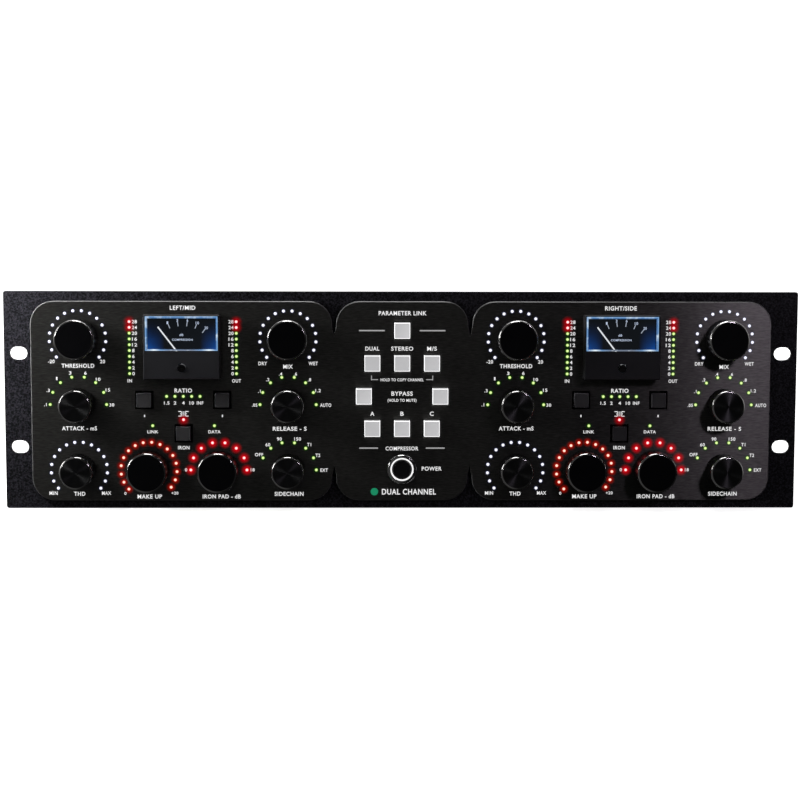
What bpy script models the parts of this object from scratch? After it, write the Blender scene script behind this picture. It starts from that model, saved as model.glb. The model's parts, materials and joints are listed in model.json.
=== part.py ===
"""A 3U rack-mount stereo compressor, as the separate pieces it comes apart into.

Units are metres. +X runs to the right along the front panel, +Z up, and the front faces -Y. The
origin is at the middle of the object's box, on the line that the panel's lower edge stands on.
Every piece is first made facing -Y with its own origin on its axis or at its middle, and is then
placed. Depths along Y are counted from the front face of the steel front panel: a piece in front
of it has a negative depth, and one inside the case a positive depth.
"""

import math

import bmesh
import bpy
from mathutils import Matrix

# Fits
GAP = 0.0003  # between pieces that touch on the real unit
RUNNING_GAP = 0.0004  # round a piece that slides or turns in a hole

# Front panel: EIA-310 rack width and hole spacing, three rack units high
PANEL_WIDTH = 0.4826
PANEL_HEIGHT = 0.1325
PANEL_THICKNESS = 0.003
PANEL_CORNER_RADIUS = 0.0012
PANEL_REBATE = 0.0002  # how far the back is milled away between the ears, where the case stands
RACK_SLOT_SPACING_X = 0.4651
RACK_SLOT_SPACING_Z = 0.05715
RACK_SLOT_LENGTH = 0.011
RACK_SLOT_HEIGHT = 0.008

# Raised faceplate, whose two waists are marked by a pointed notch above and below
FACEPLATE_HALF_WIDTH = 0.2248
FACEPLATE_TOP = 0.0604  # heights on the front are counted from the panel's middle
FACEPLATE_BOTTOM = -0.0612
FACEPLATE_THICKNESS = 0.0025
FACEPLATE_CORNER_RADIUS = 0.014
NOTCH_X = 0.0413
NOTCH_HALF_WIDTH = 0.0012
NOTCH_DEPTH = 0.0215
NOTCH_STRAIGHT = 0.0065  # from the point up to where the notch's sides are parallel

# Case behind the panel, lower than it at the top
CASE_WIDTH = 0.436
CASE_HEIGHT = 0.1225
CASE_BOTTOM_Z = 0.00175
CASE_DEPTH = 0.2
COVER_THICKNESS = 0.0015
SIDE_THICKNESS = 0.004
SIDE_CHAMFER = 0.0004
REAR_THICKNESS = 0.002
VENT_COUNT = 16
VENT_WIDTH = 0.004
VENT_LENGTH = 0.036
VENT_PITCH = 0.018
VENT_ROWS = (0.0, 0.05)  # behind the middle of the cover

# Layout of one channel, about its own middle, and of the middle section
CHANNEL_X = 0.13275
KNOB_COLUMNS = (-0.0635, -0.02125, 0.02125, 0.0635)
KNOB_ROWS = (0.0376, -0.0024, -0.0424)
RATIO_BUTTON_X = 0.0236
RATIO_BUTTON_Z = 0.0004
IRON_BUTTON_Z = -0.02
LINK_BUTTON_Z = 0.0427
MODE_BUTTON_X = 0.0181
MODE_BUTTON_Z = 0.0228
BYPASS_BUTTON_X = 0.02325
BYPASS_BUTTON_Z = 0.0027
MEMORY_BUTTON_Z = -0.017
POWER_BUTTON_Z = -0.04185

# Knobs: plain turned cylinders on the shafts of endless encoders
LARGE_KNOB_RADIUS = 0.012
SMALL_KNOB_RADIUS = 0.0099
KNOB_HEIGHT = 0.0155
KNOB_CHAMFER = 0.001  # wide enough to show as a bright rim
KNOB_LIFT = 0.0005  # clear of the faceplate
KNOB_BORE_DEPTH = 0.012
SHAFT_RADIUS = 0.003
KNOB_SIDES = 24

# Buttons
LIGHT_CAP_HALF = 0.00505
DARK_CAP_HALF = 0.0047
CAP_HOLE_HALF = 0.0056
CAP_PROUD = 0.0025
CAP_LENGTH = 0.0068
CAP_CHAMFER = 0.0004
PLUNGER_HALF = 0.0015
PLUNGER_LENGTH = 0.0105
BUTTON_TRAVEL = 0.0015

# Power button
POWER_CAP_RADIUS = 0.0057
POWER_CAP_PROUD = 0.0003  # beyond its bezel
POWER_CAP_LENGTH = 0.008
POWER_BEZEL_RADIUS = 0.009
POWER_BEZEL_THICKNESS = 0.0022
POWER_BARREL_RADIUS = 0.0078
POWER_BARREL_LENGTH = 0.023
POWER_BORE_DEPTH = 0.016

# Moving-coil meter
METER_WIDTH = 0.046
METER_HEIGHT = 0.039
METER_Z = 0.033
METER_PROUD = 0.009
METER_BARREL_WIDTH = 0.041
METER_BARREL_HEIGHT = 0.034
METER_BARREL_LENGTH = 0.024
METER_BACK_WALL = 0.0015
METER_FRONT_WALL = 0.0018
METER_LINING = 0.0018  # wall between the movement's space and the housing's outside
METER_EDGE_CHAMFER = 0.0005
WINDOW_WIDTH = 0.0434
WINDOW_HEIGHT = 0.0206
WINDOW_Z = 0.04125
WINDOW_THICKNESS = 0.0015
MOVEMENT_BOTTOM = 0.0163
DIAL_THICKNESS = 0.0006
NEEDLE_PIVOT_Z = 0.026
NEEDLE_LENGTH = 0.024
NEEDLE_WIDTH = 0.0008
NEEDLE_THICKNESS = 0.0004
NEEDLE_REST_DEG = -37.5
NEEDLE_HUB_RADIUS = 0.0028
NEEDLE_HUB_LENGTH = 0.002
NEEDLE_TAIL = 0.006
NEEDLE_CLEARANCE = 0.00045  # between the hub and the dial
PIVOT_PIN_RADIUS = 0.0006
ADJUST_SCREW_Z = 0.0205
ADJUST_SCREW_RADIUS = 0.0024
ADJUST_SCREW_PROUD = 0.0005
ADJUST_SCREW_LENGTH = 0.0034

# Boards and what is soldered to them
BOARD_THICKNESS = 0.0016
CONTROL_BOARD_DEPTH = 0.018
CONTROL_BOARD_WIDTH = 0.42
CONTROL_BOARD_HEIGHT = 0.112
ENCODER_RADIUS = 0.0065
ENCODER_BODY = 0.007
BUSHING_RADIUS = 0.0045
SWITCH_HALF = 0.0037
SWITCH_LENGTH = 0.01
SWITCH_BORE_DEPTH = 0.0085
SPACER_RADIUS = 0.003
MIDDLE_SPACER_X = 0.041
AUDIO_BOARD_SIZE = (0.27, 0.135)
AUDIO_BOARD_CENTRE = (-0.065, 0.01)
AUDIO_BOARD_LIFT = 0.01
# Parts of the audio board: their size, and their rows as (first x, y, pitch, count) about its middle
MODULE_SIZE = (0.028, 0.012, 0.016)
MODULE_ROWS = ((-0.105, 0.008, 0.038, 6), (-0.105, -0.014, 0.038, 6), (-0.105, -0.036, 0.038, 6))
RELAY_SIZE = (0.01, 0.02, 0.011)
RELAY_ROW = (-0.02, 0.052, 0.014, 6)
CAPACITOR_RADIUS = 0.006
CAPACITOR_HEIGHT = 0.022
CAPACITOR_ROW = (-0.112, -0.056, 0.02, 9)
HEAT_SINK_PLACE = (0.1, 0.05)
HEAT_SINK_FINS = 7
HEAT_SINK_PITCH = 0.008
HEAT_SINK_FIN_WIDTH = 0.0025
HEAT_SINK_HEIGHT = 0.036
HEAT_SINK_BASE = 0.006
HEAT_SINK_DEPTH = 0.02
OUTPUT_TRANSFORMER_HALF = 0.019
OUTPUT_TRANSFORMER_HEIGHT = 0.044
OUTPUT_TRANSFORMER_FOOT = 0.002
OUTPUT_TRANSFORMER_ROW = (-0.105, 0.043, 0.048)  # first x, y and pitch about the board's middle
TOROID_RADIUS = 0.045
TOROID_HEIGHT = 0.042
TOROID_ROUNDING = 0.012
TOROID_PLACE = (0.148, 0.03)
TOROID_WASHER_RADIUS = 0.026
TOROID_WASHER_THICKNESS = 0.002
TOROID_BOLT_RADIUS = 0.006
TOROID_BOLT_HEIGHT = 0.006

# Rear connectors
CONNECTOR_FLANGE = (0.026, 0.031)
CONNECTOR_FLANGE_ROUNDING = 0.003
CONNECTOR_FLANGE_THICKNESS = 0.002
CONNECTOR_BARREL_RADIUS = 0.0115
CONNECTOR_BARREL_LENGTH = 0.02
SOCKET_RADIUS = 0.0096
SOCKET_CORE_RADIUS = 0.0068
PLUG_CUP_RADIUS = 0.0079
CONTACT_CIRCLE_RADIUS = 0.0038
CONTACT_RADIUS = 0.0012
CONTACT_LENGTH = 0.012
SOCKET_DEPTH = 0.015
INLET_FLANGE = (0.05, 0.028)
INLET_FLANGE_ROUNDING = 0.004
INLET_BODY = (0.027, 0.0195)
INLET_BODY_ROUNDING = 0.001
INLET_RECESS = (0.0245, 0.0165)
INLET_RECESS_ROUNDING = 0.003
INLET_BODY_LENGTH = 0.022
INLET_BLADES = ((-0.007, -0.002), (0.007, -0.002), (0.0, 0.002))
INLET_BLADE_SIZE = (0.002, 0.004)
INLET_X = 0.185
CONNECTOR_ROW_Z = 0.004  # above the middle of the rear panel
OUTPUT_CONNECTOR_X = {"left": -0.182, "right": -0.087}
INPUT_CONNECTOR_X = {"left": -0.147, "right": -0.052}

# Worked out from the above
FACEPLATE_DEPTH = -GAP - FACEPLATE_THICKNESS  # of the faceplate's front face
KNOB_FRONT = FACEPLATE_DEPTH - KNOB_LIFT - KNOB_HEIGHT
REAR_DEPTH = PANEL_THICKNESS + CASE_DEPTH  # of the rear panel's outer face
REAR_END = REAR_DEPTH + GAP + CONNECTOR_FLANGE_THICKNESS
PANEL_Y = -(KNOB_FRONT + REAR_END) / 2  # puts the origin midway between front and back
PANEL_MIDDLE_Z = PANEL_HEIGHT / 2
CASE_MIDDLE_Z = CASE_BOTTOM_Z + CASE_HEIGHT / 2
FLOOR_TOP_Z = CASE_BOTTOM_Z + COVER_THICKNESS  # the bottom plate's upper face
AUDIO_BOARD_TOP_Z = FLOOR_TOP_Z + AUDIO_BOARD_LIFT + BOARD_THICKNESS
METER_FRONT = FACEPLATE_DEPTH - GAP - METER_PROUD
MOVEMENT_BACK = METER_FRONT + METER_PROUD - METER_BACK_WALL  # back of the space that the needle moves in
MOVEMENT_FRONT = METER_FRONT + METER_FRONT_WALL
MOVEMENT_HALF_WIDTH = METER_WIDTH / 2 - METER_LINING
MOVEMENT_TOP = METER_Z + METER_HEIGHT / 2 - METER_LINING
DIAL_FRONT = MOVEMENT_BACK - GAP - DIAL_THICKNESS

SIDES = {"left": -1, "right": 1}
# Each channel's knobs, as column, row and radius
KNOBS = {
    "threshold": (0, 0, LARGE_KNOB_RADIUS),
    "mix": (3, 0, LARGE_KNOB_RADIUS),
    "attack": (0, 1, SMALL_KNOB_RADIUS),
    "release": (3, 1, SMALL_KNOB_RADIUS),
    "thd": (0, 2, SMALL_KNOB_RADIUS),
    "make_up": (1, 2, LARGE_KNOB_RADIUS),
    "iron_pad": (2, 2, LARGE_KNOB_RADIUS),
    "sidechain": (3, 2, SMALL_KNOB_RADIUS),
}
CHANNEL_BUTTONS = {
    "ratio_down": (-RATIO_BUTTON_X, RATIO_BUTTON_Z),
    "ratio_up": (RATIO_BUTTON_X, RATIO_BUTTON_Z),
    "iron": (0.0, IRON_BUTTON_Z),
}
MIDDLE_BUTTONS = {
    "parameter_link": (0.0, LINK_BUTTON_Z),
    "dual": (-MODE_BUTTON_X, MODE_BUTTON_Z),
    "stereo": (0.0, MODE_BUTTON_Z),
    "mid_side": (MODE_BUTTON_X, MODE_BUTTON_Z),
    "left_bypass": (-BYPASS_BUTTON_X, BYPASS_BUTTON_Z),
    "right_bypass": (BYPASS_BUTTON_X, BYPASS_BUTTON_Z),
    "memory_a": (-MODE_BUTTON_X, MEMORY_BUTTON_Z),
    "memory_b": (0.0, MEMORY_BUTTON_Z),
    "memory_c": (MODE_BUTTON_X, MEMORY_BUTTON_Z),
}


# ---------------------------------------------------------------- scene and materials

def clear_scene():
    for obj in list(bpy.data.objects):
        bpy.data.objects.remove(obj)


def material(name, colour, roughness, metallic=0.0, alpha=1.0):
    made = bpy.data.materials.new(name)
    made.use_nodes = True
    shader = made.node_tree.nodes["Principled BSDF"]
    shader.inputs["Base Color"].default_value = (*colour, 1.0)
    shader.inputs["Roughness"].default_value = roughness
    shader.inputs["Metallic"].default_value = metallic
    shader.inputs["Alpha"].default_value = alpha
    return made


def empty(name, location):
    made = bpy.data.objects.new(name, None)
    made.location = location
    bpy.context.collection.objects.link(made)
    return made


def place(name, mesh, finish, location, parent=None, turn=0.0):
    """Puts a mesh in the scene as the named piece. turn is about Z, in radians."""
    made = bpy.data.objects.new(name, mesh)
    made.location = location
    made.rotation_euler = (0.0, 0.0, turn)
    made.parent = parent
    if not mesh.materials:
        mesh.materials.append(finish)
    mesh.shade_smooth()
    mesh.set_sharp_from_angle(angle=math.radians(35))
    bpy.context.collection.objects.link(made)
    return made


# ---------------------------------------------------------------- outlines, as (x, z) points

def arc(centre, radius, start_deg, end_deg, steps):
    """Points round an arc, anticlockwise from +X when the angle grows."""
    angles = [math.radians(start_deg + (end_deg - start_deg) * i / steps) for i in range(steps + 1)]
    return [(centre[0] + radius * math.cos(a), centre[1] + radius * math.sin(a)) for a in angles]


def circle(centre, radius, sides):
    return arc(centre, radius, 0, 360, sides)[:-1]


def rectangle(centre, width, height, corner_radius=0.0, corner_steps=2):
    x, z = width / 2 - corner_radius, height / 2 - corner_radius
    points = []
    for quarter, (sx, sz) in enumerate(((1, 1), (-1, 1), (-1, -1), (1, -1))):
        corner = (centre[0] + sx * x, centre[1] + sz * z)
        if corner_radius:
            points += arc(corner, corner_radius, 90 * quarter, 90 * quarter + 90, corner_steps)
        else:
            points.append(corner)
    return points


def stadium(centre, length, height, steps=6):
    reach, radius = (length - height) / 2, height / 2
    right = arc((centre[0] + reach, centre[1]), radius, -90, 90, steps)
    left = arc((centre[0] - reach, centre[1]), radius, 90, 270, steps)
    return right + left


def notch(x, edge_z, way):
    """The pointed notch at a waist, from its left shoulder to its right. way is -1 at the top edge."""
    radius, steps = FACEPLATE_CORNER_RADIUS, 7
    offset, centre_z = NOTCH_HALF_WIDTH + radius, edge_z + way * radius
    left = arc((x - offset, centre_z), radius, -90 * way, 0, steps)
    right = arc((x + offset, centre_z), radius, 180, 180 + 90 * way, steps)
    point_z = edge_z + way * NOTCH_DEPTH
    shoulder_z = point_z - way * NOTCH_STRAIGHT
    left_side = [(x - NOTCH_HALF_WIDTH, shoulder_z)]
    right_side = [(x + NOTCH_HALF_WIDTH, shoulder_z)]
    return left + left_side + [(x, point_z)] + right_side + right


def faceplate_outline():
    """Clockwise from the left end of the top edge."""
    radius, steps = FACEPLATE_CORNER_RADIUS, 8
    end_x = FACEPLATE_HALF_WIDTH - radius
    top_z, bottom_z = FACEPLATE_TOP - radius, FACEPLATE_BOTTOM + radius
    points = arc((-end_x, top_z), radius, 180, 90, steps)
    points += notch(-NOTCH_X, FACEPLATE_TOP, -1) + notch(NOTCH_X, FACEPLATE_TOP, -1)
    points += arc((end_x, top_z), radius, 90, 0, steps)
    points += arc((end_x, bottom_z), radius, 0, -90, steps)
    points += notch(NOTCH_X, FACEPLATE_BOTTOM, 1)[::-1] + notch(-NOTCH_X, FACEPLATE_BOTTOM, 1)[::-1]
    points += arc((-end_x, bottom_z), radius, -90, -180, steps)
    return points


# ---------------------------------------------------------------- solids

def finished(bm, name):
    """Welds, turns the faces outwards and returns the mesh."""
    bmesh.ops.remove_doubles(bm, verts=bm.verts, dist=1e-6)
    bmesh.ops.recalc_face_normals(bm, faces=bm.faces)
    mesh = bpy.data.meshes.new(name)
    bm.to_mesh(mesh)
    bm.free()
    return mesh


def plate(name, outline, holes, thickness, front=0.0):
    """A flat plate facing -Y, its front face at y = front, cut right through by the holes."""
    curve = bpy.data.curves.new(name, "CURVE")
    curve.dimensions = "2D"
    curve.fill_mode = "BOTH"
    curve.extrude = thickness / 2
    for loop in [outline, *holes]:
        spline = curve.splines.new("POLY")
        spline.points.add(len(loop) - 1)
        spline.use_cyclic_u = True
        for point, (x, z) in zip(spline.points, loop):
            point.co = (x, z, 0.0, 1.0)
    flat = bpy.data.objects.new(name, curve)
    bm = bmesh.new()
    bm.from_mesh(bpy.data.meshes.new_from_object(flat))
    bpy.data.objects.remove(flat)
    stand_up = Matrix.Translation((0, front + thickness / 2, 0)) @ Matrix.Rotation(math.pi / 2, 4, "X")
    bm.transform(stand_up)
    return finished(bm, name)


def turned(name, profile, sides, axis="Y"):
    """A solid turned about an axis from (radius, position) points, which start and end on it.

    With four sides it is a square section, and a radius is then half the width across the flats.
    """
    spin_start = math.pi / 4 if sides == 4 else 0.0
    reach = math.sqrt(2) if sides == 4 else 1.0
    bm = bmesh.new()
    points = [bm.verts.new((radius * reach, 0.0, position)) for radius, position in profile]
    edges = [bm.edges.new(pair) for pair in zip(points, points[1:])]
    bmesh.ops.rotate(bm, verts=points, cent=(0, 0, 0), matrix=Matrix.Rotation(spin_start, 3, "Z"))
    whole = {"angle": 2 * math.pi, "steps": sides, "use_merge": True}
    bmesh.ops.spin(bm, geom=points + edges, cent=(0, 0, 0), axis=(0, 0, 1), **whole)
    if axis == "Y":
        bm.transform(Matrix.Rotation(-math.pi / 2, 4, "X"))
    return finished(bm, name)


def block(name, low, high, bevel=0.0):
    bm = bmesh.new()
    bmesh.ops.create_cube(bm, size=1.0)
    size = [b - a for a, b in zip(low, high)]
    middle = [(a + b) / 2 for a, b in zip(low, high)]
    bm.transform(Matrix.Translation(middle) @ Matrix.Diagonal((*size, 1.0)))
    if bevel:
        bmesh.ops.bevel(bm, geom=bm.edges[:], offset=bevel, segments=1, affect="EDGES")
    return finished(bm, name)


def moved(mesh, offset):
    shifted = mesh.copy()
    shifted.transform(Matrix.Translation(offset))
    return shifted


def gathered(name, meshes):
    """Several solids that don't touch, in one mesh."""
    bm = bmesh.new()
    for mesh in meshes:
        bm.from_mesh(mesh)
    return finished(bm, name)


def combined(name, base, steps):
    """base with each (operation, mesh) of steps carried out on it in turn."""
    body = bpy.data.objects.new(name, base)
    helpers = [body]
    for number, (operation, mesh) in enumerate(steps):
        helper = bpy.data.objects.new(f"{name}_tool_{number}", mesh)
        helpers.append(helper)
        modifier = body.modifiers.new(operation, "BOOLEAN")
        modifier.operation = operation
        modifier.solver = "EXACT"
        modifier.object = helper
    for helper in helpers:
        bpy.context.collection.objects.link(helper)
    graph = bpy.context.evaluated_depsgraph_get()
    result = bpy.data.meshes.new_from_object(body.evaluated_get(graph))
    for helper in helpers:
        bpy.data.objects.remove(helper)
    result.name = name
    return result


# ---------------------------------------------------------------- where things are on the front

def knob_places():
    """(name, x, z, radius) of every knob."""
    for side, sign in SIDES.items():
        for name, (column, row, radius) in KNOBS.items():
            yield f"{side}_{name}", sign * CHANNEL_X + KNOB_COLUMNS[column], KNOB_ROWS[row], radius


def button_places():
    """(name, x, z, half width of the cap) of every square button."""
    for side, sign in SIDES.items():
        for name, (x, z) in CHANNEL_BUTTONS.items():
            yield f"{side}_{name}", sign * CHANNEL_X + x, z, DARK_CAP_HALF
    for name, (x, z) in MIDDLE_BUTTONS.items():
        yield name, x, z, LIGHT_CAP_HALF


def front_holes(shaft_hole_radius):
    """The holes that the front panel and the faceplate share."""
    holes = [circle((x, z), shaft_hole_radius, 12) for _, x, z, _ in knob_places()]
    holes += [rectangle((x, z), 2 * CAP_HOLE_HALF, 2 * CAP_HOLE_HALF) for _, x, z, _ in button_places()]
    holes.append(circle((0, POWER_BUTTON_Z), POWER_BARREL_RADIUS + GAP, 20))
    for sign in SIDES.values():
        size = (METER_BARREL_WIDTH + 2 * GAP, METER_BARREL_HEIGHT + 2 * GAP)
        holes.append(rectangle((sign * CHANNEL_X, METER_Z), *size))
    return holes


# ---------------------------------------------------------------- front panel and faceplate

def mill_back(mesh, half_width, depth):
    """Lowers a panel's back face between -half_width and half_width, with a slope at each end."""
    bm = bmesh.new()
    bm.from_mesh(mesh)
    for x in (-half_width - depth, -half_width, half_width, half_width + depth):
        everything = bm.verts[:] + bm.edges[:] + bm.faces[:]
        bmesh.ops.bisect_plane(bm, geom=everything, plane_co=(x, 0, 0), plane_no=(1, 0, 0))
    for vert in bm.verts:
        if vert.co.y > depth and abs(vert.co.x) < half_width + depth / 2:
            vert.co.y -= depth
    bm.to_mesh(mesh)
    bm.free()


def make_front_panel(front, finish):
    slot_x, slot_z = RACK_SLOT_SPACING_X / 2, RACK_SLOT_SPACING_Z / 2
    places = [(sx * slot_x, sz * slot_z) for sx in (-1, 1) for sz in (-1, 1)]
    slots = [stadium(place, RACK_SLOT_LENGTH, RACK_SLOT_HEIGHT) for place in places]
    outline = rectangle((0, 0), PANEL_WIDTH, PANEL_HEIGHT, PANEL_CORNER_RADIUS)
    mesh = plate("front_panel", outline, slots + front_holes(BUSHING_RADIUS + RUNNING_GAP), PANEL_THICKNESS)
    mill_back(mesh, CASE_WIDTH / 2 + 2 * GAP, PANEL_REBATE)
    place("front_panel", mesh, finish, (0, 0, 0), front)


def make_faceplate(front, finish):
    holes = front_holes(SHAFT_RADIUS + RUNNING_GAP)
    mesh = plate("faceplate", faceplate_outline(), holes, FACEPLATE_THICKNESS)
    place("faceplate", mesh, finish, (0, FACEPLATE_DEPTH, 0), front)


# ---------------------------------------------------------------- knobs and buttons

def knob_mesh(name, radius):
    """A turned knob whose face is at y = 0 and whose back, with the shaft's bore, is at y = KNOB_HEIGHT."""
    bore = SHAFT_RADIUS + RUNNING_GAP
    bore_end = KNOB_HEIGHT - KNOB_BORE_DEPTH
    profile = [
        (0, 0),
        (radius - KNOB_CHAMFER, 0),
        (radius, KNOB_CHAMFER),
        (radius, KNOB_HEIGHT),
        (bore, KNOB_HEIGHT),
        (bore, bore_end),
        (0, bore_end),
    ]
    return turned(name, profile, KNOB_SIDES)


def make_knobs(front, finish):
    meshes = {r: knob_mesh("knob", r) for r in (LARGE_KNOB_RADIUS, SMALL_KNOB_RADIUS)}
    for name, x, z, radius in knob_places():
        place(f"{name}_knob", meshes[radius], finish, (x, KNOB_FRONT, z), front)


def button_mesh(half):
    """A square cap whose face is at y = 0, with the plunger that slides in its switch behind it."""
    profile = [
        (0, 0),
        (half - CAP_CHAMFER, 0),
        (half, CAP_CHAMFER),
        (half, CAP_LENGTH),
        (PLUNGER_HALF, CAP_LENGTH),
        (PLUNGER_HALF, CAP_LENGTH + PLUNGER_LENGTH),
        (0, CAP_LENGTH + PLUNGER_LENGTH),
    ]
    return turned("button", profile, 4)


def make_buttons(front, light, dark):
    finishes = {LIGHT_CAP_HALF: light, DARK_CAP_HALF: dark}
    meshes = {half: button_mesh(half) for half in finishes}
    for name, x, z, half in button_places():
        place(f"{name}_button", meshes[half], finishes[half], (x, FACEPLATE_DEPTH - CAP_PROUD, z), front)


def make_power_button(front, finish):
    bore = POWER_CAP_RADIUS + RUNNING_GAP
    bezel = [
        (0, POWER_BORE_DEPTH),
        (bore, POWER_BORE_DEPTH),
        (bore, 0),
        (POWER_BEZEL_RADIUS - CAP_CHAMFER, 0),
        (POWER_BEZEL_RADIUS, CAP_CHAMFER),
        (POWER_BEZEL_RADIUS, POWER_BEZEL_THICKNESS),
        (POWER_BARREL_RADIUS, POWER_BEZEL_THICKNESS),
        (POWER_BARREL_RADIUS, POWER_BEZEL_THICKNESS + POWER_BARREL_LENGTH),
        (0, POWER_BEZEL_THICKNESS + POWER_BARREL_LENGTH),
    ]
    bezel_front = FACEPLATE_DEPTH - GAP - POWER_BEZEL_THICKNESS
    bezel_mesh = turned("power_button_bezel", bezel, 24)
    place("power_button_bezel", bezel_mesh, finish, (0, bezel_front, POWER_BUTTON_Z), front)
    cap = [
        (0, 0),
        (POWER_CAP_RADIUS - CAP_CHAMFER, 0),
        (POWER_CAP_RADIUS, CAP_CHAMFER),
        (POWER_CAP_RADIUS, POWER_CAP_LENGTH),
        (0, POWER_CAP_LENGTH),
    ]
    cap_mesh = turned("power_button", cap, 24)
    place("power_button", cap_mesh, finish, (0, bezel_front - POWER_CAP_PROUD, POWER_BUTTON_Z), front)


# ---------------------------------------------------------------- meters, made about the dial's pivot line

def meter_housing_mesh():
    """A box with a barrel behind it, hollow from the window opening down past the needle's pivot."""
    half_height, barrel_half_height = METER_HEIGHT / 2, METER_BARREL_HEIGHT / 2
    box_back = METER_FRONT + METER_PROUD
    front_box = block(
        "box",
        (-METER_WIDTH / 2, METER_FRONT, METER_Z - half_height),
        (METER_WIDTH / 2, box_back, METER_Z + half_height),
        METER_EDGE_CHAMFER,
    )
    barrel = block(
        "barrel",
        (-METER_BARREL_WIDTH / 2, METER_FRONT + METER_PROUD / 2, METER_Z - barrel_half_height),
        (METER_BARREL_WIDTH / 2, box_back + METER_BARREL_LENGTH, METER_Z + barrel_half_height),
    )
    movement_space = block(
        "movement_space",
        (-MOVEMENT_HALF_WIDTH, MOVEMENT_FRONT, MOVEMENT_BOTTOM),
        (MOVEMENT_HALF_WIDTH, MOVEMENT_BACK, MOVEMENT_TOP),
    )
    opening = block(
        "opening",
        (-WINDOW_WIDTH / 2 - GAP, METER_FRONT - GAP, WINDOW_Z - WINDOW_HEIGHT / 2 - GAP),
        (WINDOW_WIDTH / 2 + GAP, MOVEMENT_FRONT + GAP / 2, WINDOW_Z + WINDOW_HEIGHT / 2 + GAP),
    )
    hole = ADJUST_SCREW_RADIUS + RUNNING_GAP
    hole_end = 2 * METER_FRONT_WALL
    screw_hole = turned("screw_hole", [(0, -GAP), (hole, -GAP), (hole, hole_end), (0, hole_end)], 16)
    return combined(
        "meter_housing",
        front_box,
        [
            ("UNION", barrel),
            ("DIFFERENCE", movement_space),
            ("DIFFERENCE", opening),
            ("DIFFERENCE", moved(screw_hole, (0, METER_FRONT, ADJUST_SCREW_Z))),
        ],
    )


def meter_dial_mesh():
    """The printed dial, with the pin that the needle's hub turns on."""
    width, height = 2 * (MOVEMENT_HALF_WIDTH - GAP), MOVEMENT_TOP - MOVEMENT_BOTTOM - 2 * GAP
    middle = (0, (MOVEMENT_TOP + MOVEMENT_BOTTOM) / 2)
    dial = plate("dial", rectangle(middle, width, height), [], DIAL_THICKNESS, DIAL_FRONT)
    pin_front = DIAL_FRONT - NEEDLE_CLEARANCE - NEEDLE_HUB_LENGTH - 1.5 * GAP
    pin_back = DIAL_FRONT + DIAL_THICKNESS / 2
    profile = [(0, pin_front), (PIVOT_PIN_RADIUS, pin_front), (PIVOT_PIN_RADIUS, pin_back), (0, pin_back)]
    pin = moved(turned("pin", profile, 8), (0, 0, NEEDLE_PIVOT_Z))
    return combined("meter_dial", dial, [("UNION", pin)])


def needle_mesh():
    """The needle at its rest angle, about its pivot, with the tail that balances it."""
    bore = PIVOT_PIN_RADIUS + GAP
    hub_profile = [
        (bore, -NEEDLE_HUB_LENGTH),
        (NEEDLE_HUB_RADIUS, -NEEDLE_HUB_LENGTH),
        (NEEDLE_HUB_RADIUS, 0),
        (bore, 0),
        (bore, -NEEDLE_HUB_LENGTH),
    ]
    hub = turned("hub", hub_profile, 16)
    middle_y = -NEEDLE_HUB_LENGTH / 2
    arms = []
    for start, end in ((bore + GAP, NEEDLE_LENGTH), (-NEEDLE_TAIL, -bore - GAP)):
        low = (-NEEDLE_WIDTH / 2, middle_y - NEEDLE_THICKNESS / 2, start)
        high = (NEEDLE_WIDTH / 2, middle_y + NEEDLE_THICKNESS / 2, end)
        arms.append(block("arm", low, high))
    mesh = combined("meter_needle", hub, [("UNION", arm) for arm in arms])
    mesh.transform(Matrix.Rotation(math.radians(NEEDLE_REST_DEG), 4, "Y"))
    return mesh


def adjust_screw_mesh():
    """A slotted screw head whose face is at y = 0."""
    profile = [
        (0, 0),
        (ADJUST_SCREW_RADIUS - GAP, 0),
        (ADJUST_SCREW_RADIUS, GAP),
        (ADJUST_SCREW_RADIUS, ADJUST_SCREW_LENGTH),
        (0, ADJUST_SCREW_LENGTH),
    ]
    slot_half_width, slot_depth = ADJUST_SCREW_RADIUS / 6, ADJUST_SCREW_RADIUS / 4
    slot = block(
        "slot",
        (-2 * ADJUST_SCREW_RADIUS, -GAP, -slot_half_width),
        (2 * ADJUST_SCREW_RADIUS, slot_depth, slot_half_width),
    )
    return combined("adjust_screw", turned("head", profile, 16), [("DIFFERENCE", slot)])


def make_meters(front, black, dial_finish, clear, white):
    housing, dial, needle, screw = meter_housing_mesh(), meter_dial_mesh(), needle_mesh(), adjust_screw_mesh()
    pane = rectangle((0, WINDOW_Z), WINDOW_WIDTH, WINDOW_HEIGHT)
    window = plate("meter_window", pane, [], WINDOW_THICKNESS, METER_FRONT)
    needle_y, screw_y = DIAL_FRONT - NEEDLE_CLEARANCE, METER_FRONT - ADJUST_SCREW_PROUD
    for side, sign in SIDES.items():
        x = sign * CHANNEL_X
        place(f"{side}_meter_housing", housing, black, (x, 0, 0), front)
        place(f"{side}_meter_dial", dial, dial_finish, (x, 0, 0), front)
        place(f"{side}_meter_window", window, clear, (x, 0, 0), front)
        place(f"{side}_meter_needle", needle, white, (x, needle_y, NEEDLE_PIVOT_Z), front)
        place(f"{side}_meter_adjust_screw", screw, black, (x, screw_y, ADJUST_SCREW_Z), front)


# ---------------------------------------------------------------- boards

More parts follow.
